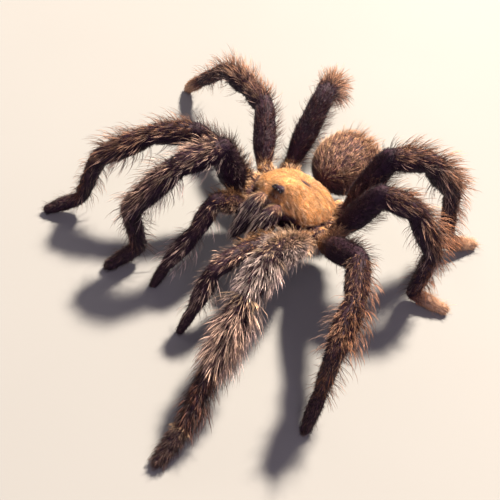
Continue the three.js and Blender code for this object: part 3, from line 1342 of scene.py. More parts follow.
        # The other thighs are pushed towards ink: partly their own dark colour, partly painted shade on their
        # shaded faces.
        if thigh and not self.near and not self.palp:
            under = mixed(under, Tint.INK, 0.75)
            guard = mixed(guard, Tint.UMBER, 0.70)
        pale_ring = np.clip((0.9 if self.near else 0.35) * at.ring * at.crest + at.frill, 0, 1)
        return {
            "hide_tint": mixed(mixed(hide, Tint.CHESTNUT, 0.08 * at.crest), Tint.GOLD, 0.5 * at.frill),
            "root_tint": mixed(root, Tint.GOLD, 0.5 * at.frill),
            "under_tip": mixed(under, Tint.INK, 0.8 * at.shade),
            "guard_tip": mixed(guard, mixed(Tint.HONEY, Tint.CREAM, 0.6), pale_ring),
        }


# ---------------- head part


@dataclass
class HeadShell:
    """The domed shell over the coxae, with its furrows, pit and eye mound, in mm.

    A band is where a marking starts and how wide its soft edge is: along y, or over the reach from the
    middle, which is 1 at the outline.
    """

    half_width: float = 7.0
    half_length: float = 6.9
    centre_y: float = -1.0
    underside: float = 10.9
    pitch: float = 9.0
    rim: float = 0.8
    height: float = 2.7
    front_narrowing: float = 0.15
    squareness: float = 0.8
    caput_rise: float = 2.7
    caput_y: float = -4.0
    caput_size: Pair = (3.2, 3.4)
    coat_depth: float = 0.28
    pit_y: float = 2.2
    pit_size: Pair = (0.7, 0.36)
    pit_depth: float = 0.8
    mound_y: float = -5.2
    mound_size: Triple = (1.2, 0.85, 1.55)
    mound_sink: float = 0.8
    furrow_turns: tuple[float, ...] = (38, 74, 104, 138)
    furrow_width: float = 0.42
    furrow_depth: float = 0.26
    furrow_start: Pair = (0.5, 1.2)
    furrow_end: Pair = (4.6, 1.6)
    roundness: float = 0.85
    rim_band: Pair = (0.86, 0.12)
    wall_band: Pair = (0.90, 0.05)
    edge_band: Pair = (0.78, 0.10)
    front_band: Pair = (-3.6, 1.4)
    forelock_band: Pair = (-5.4, 0.6)
    shoulder_bands: tuple[Pair, ...] = ((-2.2, 2.2), (0.55, 0.25))
    flank_bands: tuple[Pair, ...] = ((-3.8, 1.2), (0.80, 0.10))
    under_band: Pair = (0.4, 0.3)
    mound_band: Pair = (1.25, 0.35)
    brow_size: Pair = (1.9, 0.5)
    lee_size: Pair = (1.5, 1.0)
    pit_mark_size: Pair = (0.9, 0.5)
    worn_size: Pair = (1.3, 1.3)

    @property
    def tip(self) -> Array:
        """The turn from the level shell to its stance, with the head raised."""
        return turned_about_x(-self.pitch)

    @property
    def seat(self) -> Array:
        """Where the middle of the shell's underside stands."""
        return np.array([0.0, self.centre_y, self.underside])

    def outline(self, turn: Array) -> tuple[Array, Array]:
        """The plan outline at a turn from straight ahead.

        Args:
            turn: The turn in radians.

        Returns:
            The outline's x and y.
        """
        ahead, aside = np.cos(turn), np.sin(turn)
        narrow = 1 - self.front_narrowing * np.maximum(0, ahead) ** 1.5
        x = self.half_width * np.sign(aside) * np.abs(aside) ** self.squareness * narrow
        y = -self.half_length * np.sign(ahead) * np.abs(ahead) ** self.squareness
        return x, y

    def relief(self, x: Values, y: Values) -> Values:
        """How far furrows and the pit sink the dome at a place of the level shell.

        Args:
            x: The place's x.
            y: The place's y.

        Returns:
            The depth.
        """
        dx, dy = x, y - self.pit_y
        reach = np.hypot(dx, dy)
        sink = self.pit_depth * spot(dx, dy, *self.pit_size)
        for turn in self.furrow_turns:
            for side in Side:
                ax, ay = side.value * math.sin(math.radians(turn)), -math.cos(math.radians(turn))
                off = np.abs(dx * ay - dy * ax)
                on = onset(dx * ax + dy * ay, *self.furrow_start) * (1 - onset(reach, *self.furrow_end))
                sink = sink + self.furrow_depth * on * hill(off, 0.0, self.furrow_width)
        return sink

    def dome(self, x: Values, y: Values, swell: float) -> Values:
        """The height of the level shell's top over its underside."""
        caput = self.caput_rise * spot(x, y - self.caput_y, *self.caput_size)
        return self.rim + (self.height + caput) * swell - self.coat_depth - self.relief(x, y) * swell

    def shapes(self) -> list[Shape]:
        """The shell and the eye mound.

        Returns:
            The closed shapes.
        """
        sides, rows = 96, 30
        turn = np.linspace(0, 2 * math.pi, sides, endpoint=False)
        reach = np.sin(np.linspace(0, math.pi / 2, rows + 1)[1:])
        plan_x, plan_y = self.outline(turn)
        inset = 1 - self.coat_depth / self.half_width
        rings = []
        for r in reach:
            x, y = plan_x * r * inset, plan_y * r * inset
            rings.append(columns(x, y, self.dome(x, y, math.sqrt(max(0.0, 1 - r * r)) ** self.roundness)))
        rings.append(columns(plan_x * 0.97 * inset, plan_y * 0.97 * inset, 0.0))
        crown = np.array([0.0, 0.0, float(self.dome(0.0, 0.0, 1.0))])
        shell = Shape.from_rings(np.array(rings), crown, np.zeros(3)).moved(self.tip, self.seat)
        top = math.sqrt(1 - (self.mound_y / self.half_length) ** 2) ** self.roundness
        height = float(self.dome(0.0, self.mound_y, top)) + self.coat_depth
        seat = self.tip @ np.array([0, self.mound_y, height - self.mound_sink]) + self.seat
        return [shell, ball(seat, self.mound_size)]

    def level(self, points: Array) -> Array:
        """Points as they lie on the level shell."""
        return (points - self.seat) @ self.tip

    def paint(self, points: Array, normals: Array) -> Coating:
        """The coating at points of the shell.

        Args:
            points: The points, in the body's own frame.
            normals: The skin's normals there, which are not used.

        Returns:
            The coating.
        """
        x, y, z = self.level(points).T
        parting = hill(x, 0.0, 0.6)
        behind = np.maximum(0, y - self.pit_y) / (np.abs(x) + 1.0)
        forelock = ebb(y, *self.forelock_band) * hill(x, 0.0, 2.2)
        lie = columns(np.tanh(x / 0.5), 0.15 + 0.4 * parting + behind - 2.0 * forelock, 0.0)
        lie = unit(lie + np.array([0, 0, -0.25])) @ self.tip.T

        turn = np.arctan2(x, -y)
        reach = np.hypot(x, y) / np.maximum(np.hypot(*self.outline(turn)), 1e-6)
        rim = onset(reach, *self.rim_band)
        on_mound = ebb(np.hypot(x, (y - self.mound_y) * 1.25), *self.mound_band)
        brow = spot(x, y - self.mound_y + 1.2, *self.brow_size)
        lee = spot(x, y - self.pit_y + 0.7, *self.lee_size)
        ahead = ebb(y, *self.front_band)
        # The outermost front rim is painted ink dark and bare of strands: painted shade of the gap under the
        # rim.
        rim_shade = ahead * onset(reach, *self.wall_band)
        edge = ahead * onset(reach, *self.edge_band)
        # The front slopes (shoulder) are painted greyer and darker, and the front rim (flank) darker
        # chestnut: painted shade on the front of the shell.
        shoulder = ebb(y, *self.shoulder_bands[0]) * onset(reach, *self.shoulder_bands[1])
        flank = ebb(y, *self.flank_bands[0]) * onset(reach, *self.flank_bands[1])
        # The pit is bare and painted dark: painted shade in its hollow.
        pit = smooth(1.5 * spot(x, y - self.pit_y, *self.pit_mark_size))
        worn = spot(x - 0.3, y - self.pit_y - 1.9, *self.worn_size)
        # How deep the furrows are; it paints them darker chestnut, as painted shade in the grooves.
        furrow = np.clip(self.relief(x, y) / self.furrow_depth, 0, 1)
        # Ink where the pit and the outermost front rim hold painted shade, and on the eye mound, whose own
        # colour is dark.
        dark = np.clip(pit + on_mound + rim_shade, 0, 1)
        underside = ebb(z, *self.under_band)

        tip = mixed(mixed(Tint.HONEY, Tint.GOLD, 0.25 + 0.2 * shoulder), Tint.CHESTNUT, 0.5 * furrow)
        tip = mixed(tip, Tint.ASH, np.clip(0.8 * worn + 0.4 * shoulder + brow, 0, 1))
        tip = mixed(tip, Tint.CHESTNUT, 0.8 * flank)
        grey = np.clip(0.6 * shoulder + 0.7 * worn, 0, 1)
        strand = mixed(mixed(Tint.HONEY, Tint.CREAM, 0.65), Tint.FROST, grey)
        strand = mixed(strand, mixed(Tint.SILVER, Tint.CREAM, 0.5), brow)
        skin = mixed(Tint.GOLD, Tint.CHESTNUT, 0.5 + 0.4 * furrow)
        bare = (1 - underside) * (1 - pit) * (1 - 0.85 * on_mound)
        return Coating(
            hide_tint=mixed(skin, Tint.INK, np.clip(dark + underside, 0, 1)),
            root_tint=mixed(mixed(Tint.GOLD, Tint.CHESTNUT, 0.4), Tint.INK, np.clip(dark + 0.8 * brow, 0, 1)),
            under_tip=mixed(tip, Tint.INK, dark),
            guard_tip=mixed(strand, Tint.INK, 0.9 * rim_shade * (1 - brow)),
            lie=lie,
            under=habit((0.78 - 0.4 * np.maximum(on_mound, edge)) * (1 - 0.6 * lee), 10 + 8 * rim, 22 * bare),
            guard=habit(
                (1.35 - 0.2 * rim - 0.3 * edge) * (1 - 0.7 * lee),
                7 + 22 * rim + 45 * brow,
                bare * (7.5 + 4.0 * rim + 14.0 * brow) * (1 - rim_shade * (1 - brow)),
            ),
            long=habit(1.6, 25, 0.15 * rim),
            # The front slopes' tufts are darker, as painted shade.
            tone=contrast(0.95 - 0.45 * shoulder, 3.6, 0.45),
            wrap=seen_flat(turn, reach),
            grain=self._grain(x, y),
        )

    def _grain(self, x: Array, y: Array) -> Array:
        """Where a point is across and along the streaks, which run outwards and fan out behind the pit.

        Args:
            x: The points' x.
            y: The points' y.

        Returns:
            The place among the streaks.
        """
        ahead, behind = np.minimum(0, y - self.pit_y), np.maximum(0, y - self.pit_y)
        lane = ahead - 0.1 * np.abs(x) + 2.5 * np.arctan2(behind, np.abs(x) + 1.0)
        return columns(0.6 * lane * MM, x * MM, 0.0)


@dataclass
class Underbody:
    """The sternum, the coxae, the lip and the waist, in mm."""

    plate_centre: Triple = (0.0, -1.0, 8.2)
    plate_size: Triple = (3.4, 4.8, 1.35)
    coxa_radii: Pair = (1.5, 1.72)
    inner_reach: float = 0.25
    inner_height: float = 8.6
    lip_centre: Triple = (0.0, -6.0, 7.9)
    lip_size: Triple = (1.0, 0.9, 0.8)
    coxa_shares: tuple[float, ...] = (0.0, 0.2, 0.4, 0.6, 0.75, 0.84, 0.9, 0.97, 1.02)
    coxa_sizes: tuple[float, ...] = (0.9, 1.0, 1.03, 1.06, 1.08, 1.04, 0.92, 0.98, 0.8)
    ridge_pitch: float = 1.3
    full_reach: float = 12.0

    def shapes(self, limbs: list[Limb]) -> list[Shape]:
        """The plate, the lip and one coxa with its ring for each limb.

        Args:
            limbs: The limbs that the coxae carry.

        Returns:
            The closed shapes.
        """
        made = [ball(self.plate_centre, self.plate_size), ball(self.lip_centre, self.lip_size)]
        for limb in limbs:
            first = limb.segments[0]
            outer = first.start
            inner = np.array([outer[0] * self.inner_reach, outer[1] * self.inner_reach, self.inner_height])
            axis = unit(outer - inner)
            length = float(np.linalg.norm(outer - inner))
            across = unit(np.cross(axis, UPRIGHT))
            shares = np.array(self.coxa_shares)
            radii = np.interp(shares, [0, 1], self.coxa_radii) * self.coxa_sizes * limb.plan.stoutness
            path = inner + shares[:, None] * length * axis
            made.append(tube(path, across, np.cross(across, axis), radii, radii, limb.sides))
        return made

    def paint(self, points: Array, normals: Array) -> Coating:
        """The coating at points of the underbody.

        Args:
            points: The points, in the body's own frame.
            normals: The skin's normals there.

        Returns:
            The coating.
        """
        x, y, z = points.T
        y_out = y - self.plate_centre[1]
        out = np.hypot(x, y_out)
        # The golden coxa tops stop short of the front, where the palps' coxae stay dark as painted shade.
        side = onset(z, 8.6, 1.2) * onset(out, 6.2, 1.5) * onset(y, -10.0, 3.0)
        ridge = 0.5 + 0.5 * np.cos(2 * math.pi * out / self.ridge_pitch)
        turn = np.arctan2(x, -y_out)
        reach = np.clip(out / self.full_reach, 0, 1)
        return Coating(
            hide_tint=mixed(Tint.INK, Tint.CHESTNUT, 0.5 * side * ridge),
            root_tint=mixed(Tint.INK, Tint.CHESTNUT, 0.7 * side * ridge),
            under_tip=mixed(Tint.UMBER, mixed(Tint.GOLD, Tint.HONEY, 0.6), side * (0.15 + 0.85 * ridge)),
            guard_tip=mixed(Tint.CHESTNUT, mixed(Tint.HONEY, Tint.CREAM, 0.7), side * (0.3 + 0.7 * ridge)),
            lie=unit(columns(x, y_out, 0.0)) + np.array([0, 0, -0.15]),
            under=habit(0.8, 30, 2.5 + 4.5 * side),
            guard=habit(1.3, 34, 0.3 + 8.0 * side * (0.4 + 0.6 * ridge)),
            long=habit(1.8, 50, 0.06),
            # The coxa tops' tufts are extra light: golden hair, and painted light where the shell shades
            # them.
            tone=contrast(0.8 + 0.5 * side, 3.4 + 1.8 * side, 0.3),
            wrap=seen_flat(turn, reach, np.where(normals[:, 2] > 0.0, 0.75, 0.25), 0.245),
            grain=columns(turn * 4 * MM, reach * self.full_reach * MM, 0.0),
        )


@dataclass
class Jaw:
    """One of the two stout segments that carry the fangs, in mm."""

    side: Side
    length: float = 8.4
    half_width: float = 1.76
    half_height: float = 2.6
    base_share: float = 0.48
    tip_share: float = 0.62
    middle_share: float = 0.38
    place: Triple = (1.78, -7.4, 13.8)
    pitch: float = -46.0
    coat_depth: float = 0.22
    bluntness: float = 0.8
    narrowing: float = 0.22
    hidden_share: float = 0.24
    base_band: Pair = (0.14, 0.16)
    crest_band: Pair = (0.60, 0.28)
    fringe_band: Pair = (0.30, 0.25)

    @property
    def turn(self) -> Array:
        """The turn from lying level to its stance."""
        return turned_about_x(-self.pitch)

    @property
    def root(self) -> Array:
        """The point on its axis that it turns about."""
        return np.array([self.side.value * self.place[0], self.place[1], self.place[2]])

    def shapes(self) -> list[Shape]:
        """The jaw, blunt at its far end.

        Returns:
            The closed shapes.
        """
        rows, sides = 26, 32
        rise = np.linspace(0, math.pi, rows + 2)[1:-1]
        forward = np.sign(np.cos(rise)) * np.abs(np.cos(rise)) ** self.bluntness
        size = np.sin(rise) * (1 - self.narrowing * np.maximum(0, forward))
        ahead = np.where(forward > 0, self.tip_share, self.base_share) * forward + self.middle_share
        path = columns(0.0, -ahead * self.length, 0.0)
        wide = size * self.half_width * (1 - self.coat_depth / self.half_width)
        high = size * (self.half_height - self.coat_depth)
        return [tube(path, ASIDE, UPRIGHT, wide, high, sides).moved(self.turn, self.root)]

    def paint(self, points: Array, normals: Array) -> Coating:
        """The coating at points of the jaw.

        Args:
            points: The points, in the body's own frame.
            normals: The skin's normals there, which are not used.

        Returns:
            The coating.
        """
        x, y, z = ((points - self.root) @ self.turn).T
        angle = np.arctan2(x, z / 1.5)
        back = 0.5 + 0.5 * np.cos(angle)
        hidden = self.length * self.hidden_share
        s = np.clip((-y + hidden) / (self.length + hidden), 0, 1)
        base = 1 - onset(s, *self.base_band)
        crest = onset(back, *self.crest_band)
        fringe = base * onset(back, *self.fringe_band)
        lie = columns(0.1 * np.sin(angle), -1.0, -0.35 * (1 - back))
        strand = mixed(mixed(Tint.SILVER, Tint.CREAM, 0.6), Tint.HONEY, 0.6 * fringe)
        return Coating(
            hide_tint=mixed(Tint.INK, Tint.CHESTNUT, 0.5 * fringe),
            root_tint=mixed(Tint.INK, Tint.CHESTNUT, 0.7 * fringe),
            under_tip=mixed(
                mixed(Tint.INK, Tint.UMBER, 0.15 * crest), mixed(Tint.GOLD, Tint.FAWN, 0.5), 0.9 * fringe
            ),
            guard_tip=mixed(Tint.ASH, strand, np.maximum(crest, fringe)),
            lie=unit(lie) @ self.turn.T,
            under=habit(0.65 - 0.2 * base, 18, 8.0),
            guard=habit(1.3 + 1.3 * smooth(s * 1.5), 4 + 5 * s, 0.7 + 3.4 * crest + 5.0 * fringe),
            long=habit(2.2, 30, 0.3 * onset(s, 0.5, 0.3)),
            tone=contrast(0.45 + 0.4 * fringe, 5.0, 0.1),
            wrap=rolled_out(angle, s, 0.25 * (2 + self.side.value), 0.24),
            grain=columns(angle * 1.1 * MM, s * self.length * MM, 0.0),
        )


# ---------------- hind body


@dataclass
class HindBody:
    """The furry egg of the hind body, its waist and two finger-like spinnerets, in mm."""

    half_length: float = 7.3
    half_width: float = 6.6
    half_height: float = 5.7
    place: Triple = (-0.75, 13.35, 11.1)
    taper: float = 0.12
    pitch: float = 3.0
    swing: float = 6.0
    coat_depth: float = 0.80
    waist_y: float = 6.6
    waist_height: float = 8.75
    waist_size: Triple = (0.85, 3.2, 0.85)
    finger_length: float = 3.6
    finger_radius: float = 0.6
    finger_place: Triple = (1.25, 6.3, -3.8)
    finger_spread: float = 14.0
    finger_rise: float = 0.22
    finger_sizes: tuple[float, ...] = (0.5, 0.95, 1.0, 0.95, 0.82, 0.86, 0.78, 0.66, 0.32)
    rear_band: Pair = (0.42, 0.50)
    front_band: Pair = (0.42, 0.30)
    crest_band: Pair = (0.25, 0.60)
    side_band: Pair = (1.15, 0.60)

    @property
    def turn(self) -> Array:
        """The turn from lying level and straight to its stance."""
        return turned_about_z(self.swing) @ turned_about_x(self.pitch)

    def shapes(self) -> list[Shape]:
        """The egg, the waist and the spinnerets.

        Returns:
            The closed shapes.
        """
        rows, sides = 34, 48
        rise = np.linspace(0, math.pi, rows + 2)[1:-1]
        y = -np.cos(rise)
        size = np.sin(rise) * (1 + self.taper * y)
        path = columns(0.0, y * (self.half_length - self.coat_depth), 0.0)
        wide, high = size * (self.half_width - self.coat_depth), size * (self.half_height - self.coat_depth)
        egg = tube(path, ASIDE, UPRIGHT, wide, high, sides)
        made = [egg.moved(self.turn, np.array(self.place))]
        made.append(ball((0.0, self.waist_y, self.waist_height), self.waist_size))
        for side in Side:
            places = np.linspace(-0.5, 0.5, len(self.finger_sizes))
            radii = self.finger_radius * np.array(self.finger_sizes)
            bend = math.radians(self.finger_spread) * side.value
            axis = unit(np.array([math.sin(bend), math.cos(bend), self.finger_rise]))
            root = (side.value * self.finger_place[0], *self.finger_place[1:])
            path = root + places[:, None] * self.finger_length * axis
            across = unit(np.cross(axis, UPRIGHT))
            finger = tube(path, across, np.cross(across, axis), radii, radii, 16)
            made.append(finger.moved(turned_about_z(self.swing), np.array(self.place)))
        return made

    def paint(self, points: Array, normals: Array) -> Coating:
        """The coating at points of the hind body.

        Args:
            points: The points, in the body's own frame.
            normals: The skin's normals there, which are not used.

        Returns:
            The coating.
        """
        x, y, z = ((points - np.array(self.place)) @ self.turn).T
        angle = np.arctan2(x / self.half_width, z / self.half_height)
        back = 0.5 + 0.5 * np.cos(angle)
        s = np.clip((y + self.half_length) / (2 * self.half_length), 0, 1)
        rear = onset(s, *self.rear_band)
        crest = onset(back, *self.crest_band)
        # The front of the hind body, low on its sides, is painted ink and umber: painted shade where it meets
        # the shell and the legs.
        front = ebb(s, *self.front_band) * ebb(back, *self.side_band)
        finger = y > self.half_length - 0.9
        fuzz = mixed(Tint.UMBER, mixed(Tint.CHESTNUT, Tint.MAUVE, 0.45), crest)
        length = np.where(finger, 0.8, 1.6 + 1.6 * rear * rear)
        strand = mixed(mixed(Tint.FAWN, Tint.HONEY, 0.35), Tint.RUST, 0.05 + 0.9 * rear)
        strand = mixed(mixed(strand, Tint.RUST, 0.6 * (1 - crest)), Tint.UMBER, front)
        return Coating(
            hide_tint=mixed(Tint.INK, Tint.UMBER, 0.6),
            root_tint=mixed(Tint.INK, Tint.CHESTNUT, 0.2 + 0.3 * rear),
            under_tip=mixed(mixed(fuzz, Tint.RUST, 0.1 + 0.5 * rear), Tint.INK, front),
            guard_tip=strand,
            lie=columns(0.12 * x / self.half_width, 1.0, -0.16 - 0.5 * (1 - back)) @ self.turn.T,
            under=habit(np.where(finger, 0.7, 0.9), 20, 8.0),
            guard=habit(length, 19 + 17 * rear, np.where(finger, 1.0, 7.0)),
            long=habit(length * 1.5, 50, np.where(finger, 0.0, 0.35 + 0.45 * rear)),
            tone=contrast(0.5, 4.9 - 1.9 * rear, 0.25),
            wrap=rolled_out(angle, s),
            grain=columns(angle * 4 * MM, s * 20 * MM, 0.0),
        )


# ---------------- one skin


@dataclass
class Zone:
    """A region of the skin that carries one piece of coat."""

    name: str
    shapes: list[Shape]
    owner: HeadShell | Underbody | HindBody | Jaw | Limb
    slot: str
    strand_width: float = 1.0


@dataclass
class Skin:
    """The one skin of the whole animal."""

    voxel: float = 0.298
    smoothing: float = 0.5
    passes: int = 3

    def build(self, zones: list[Zone]) -> Piece:
        """Joins every zone's shapes into one skin.

        Args:
            zones: The regions, each with its shapes.

        Returns:
            The piece, with its coating stored in its attributes.
        """
        rough = new_piece("rough_skin", joined([shape for zone in zones for shape in zone.shapes]))
        remesh = rough.modifiers.new("one_surface", "REMESH")
        remesh.mode = "VOXEL"
        remesh.voxel_size = self.voxel * MM
        soften = rough.modifiers.new("soften", "SMOOTH")
        soften.factor = self.smoothing
        soften.iterations = self.passes
        mesh = evaluated(rough, "skin")
        bpy.data.objects.remove(rough)
        shade_smooth(mesh)
        mesh.update()
        self._store(mesh, zones)
        return show("skin", mesh)

    def _store(self, mesh: Mesh, zones: list[Zone]) -> None:
        """Finds which zone each point belongs to, and stores the coating there.

        Args:
            mesh: The skin's mesh.
            zones: The regions, each with its shapes.
        """
        points = read(mesh, "co").astype(float) / MM - BODY_MIDDLE
        normals = read(mesh, "normal").astype(float)
        total = sum(len(shape.points) for zone in zones for shape in zone.shapes)
        tree = KDTree(total)
        owners = []
        for number, zone in enumerate(zones):
            for shape in zone.shapes:
                for point in shape.points:
                    tree.insert(point, len(owners))
                    owners.append(number)
        tree.balance()
        owner = np.array([owners[tree.find(point)[1]] for point in points])
        coating = Coating.blank(len(points))
        for number, zone in enumerate(zones):
            chosen = owner == number
            coating.take(chosen, zone.owner.paint(points[chosen], normals[chosen]))
        flat = coating.lie - normals * np.sum(coating.lie * normals, axis=1, keepdims=True)
        coating.lie = unit(flat)
        coating.store(mesh)
        self.coating = coating
        self.owner = owner

    def bed(self, skin: Piece, number: int) -> Piece:
        """A copy of one zone of the skin, to lay tufts on.

        Args:
            skin: The whole skin.
            number: The zone's place in the list.

        Returns:
            The copy.
        """
        mesh = skin.data
        corners = whole_numbers(mesh.loops, "vertex_index")
        starts = whole_numbers(mesh.polygons, "loop_start")
        sizes = whole_numbers(mesh.polygons, "loop_total")
        mine = np.flatnonzero(self.owner[corners[starts]] == number)
        faces = [corners[starts[f] : starts[f] + sizes[f]] for f in mine]
        used = np.unique(np.concatenate(faces))
        renumber = np.zeros(len(mesh.vertices), np.int32)
        renumber[used] = np.arange(len(used))
        bed = bpy.data.meshes.new("bed")
        bed.from_pydata(read(mesh, "co")[used].tolist(), [], [renumber[f].tolist() for f in faces])
        self.coating.store(bed, used)
        bed.update()
        return show("bed", bed)


# ---------------- tufts


@dataclass(frozen=True)
class TuftKind:
    """A tuft of hairs one unit long, which leave one place and part towards their tips."""

    name: str
    hairs: int
    bends: int
    thickness: float
    splay: float
    bow: float
    root_width: float
    seed: int
    length_span: Pair = (0.68, 1.08)
    bow_span: Pair = (0.5, 1.5)
    lift_share: float = 0.8
    curl_share: float = 0.5
    thinning: float = 0.75
    root_offset: Pair = (-0.04, -0.06)
    patch_lane: float = 0.3
    patch_rise: float = 0.9

    def collection(self) -> bpy.types.Collection:
        """Several tufts of this kind, no two alike, in a collection of their own.

        Returns:
            The collection.
        """
        home = bpy.data.collections.new(self.name)
        rng = np.random.default_rng(self.seed)
        for number in range(TUFTS_OF_A_KIND):
            mesh = self._mesh(rng, f"{self.name}_{number}")
            home.objects.link(bpy.data.objects.new(mesh.name, mesh))
        return home

    def _mesh(self, rng: np.random.Generator, name: str) -> Mesh:
        """One tuft. It grows along z, with its back towards x.

        Args:
            rng: What draws the tuft's random numbers.
            name: The mesh's name.

        Returns:
            The tuft.
        """
        points: list[list[float]] = []
        faces: list[tuple[int, ...]] = []
        tips: list[float] = []
        patches: list[Triple] = []
        for hair in range(self.hairs):
            aside = rng.normal(0, self.splay)
            lift = rng.normal(0, self.splay * self.lift_share)
            root = rng.uniform(-1, 1, 2) * self.root_width
            length = rng.uniform(*self.length_span)
            bow = self.bow * rng.uniform(*self.bow_span)
            twist = rng.uniform(0, 2 * math.pi)
            curl = rng.normal(0, self.splay * self.curl_share)
            first = len(points)
            for row in range(self.bends + 1):
                s = row / self.bends
                end = row == self.bends
                x = lift * s + 4 * bow * s * (1 - s) + self.root_offset[0]
                y = root[0] + aside * s + curl * s * s
                z = root[1] + length * s + self.root_offset[1]
                size = self.thickness * (1 - self.thinning * s) ** 0.7
                for k in range(1 if end else 3):
                    turn = twist + k * 2 * math.pi / 3
                    wide = 0.0 if end else size
                    points.append([x + wide * math.cos(turn), y + wide * math.sin(turn), z])
                    tips.append(s)
                    lane = (hair + 0.2 + self.patch_lane * k) / self.hairs
                    patches.append((lane - 0.5, self.patch_rise * s - 0.5 + 0.06 * (k == 1), 0.0))
            for row in range(self.bends - 1):
                for k in range(3):
                    a, b = first + row * 3 + k, first + row * 3 + (k + 1) % 3
                    faces.append((a, b, b + 3, a + 3))
            last = first + (self.bends - 1) * 3
            for k in range(3):
                faces.append((last + k, last + (k + 1) % 3, last + 3))
            faces.append((first + 2, first + 1, first))
        mesh = bpy.data.meshes.new(name)
        mesh.from_pydata(points, [], faces)
        shade_smooth(mesh)
        attach(mesh, "tip", "FLOAT", np.array(tips, np.float32))
        attach(mesh, "patch", "FLOAT_VECTOR", np.array(patches, np.float32))
        mesh.update()
        return mesh


UNDER_TUFT = TuftKind(
    "under_tuft", hairs=5, bends=1, thickness=0.035, splay=0.18, bow=0.0, root_width=0.18, seed=4
)
GUARD_TUFT = TuftKind(
    "guard_tuft", hairs=2, bends=3, thickness=0.0105, splay=0.07, bow=0.08, root_width=0.05, seed=9
)
LONG_TUFT = TuftKind(
    "long_tuft", hairs=2, bends=4, thickness=0.0085, splay=0.12, bow=0.09, root_width=0.04, seed=12
)


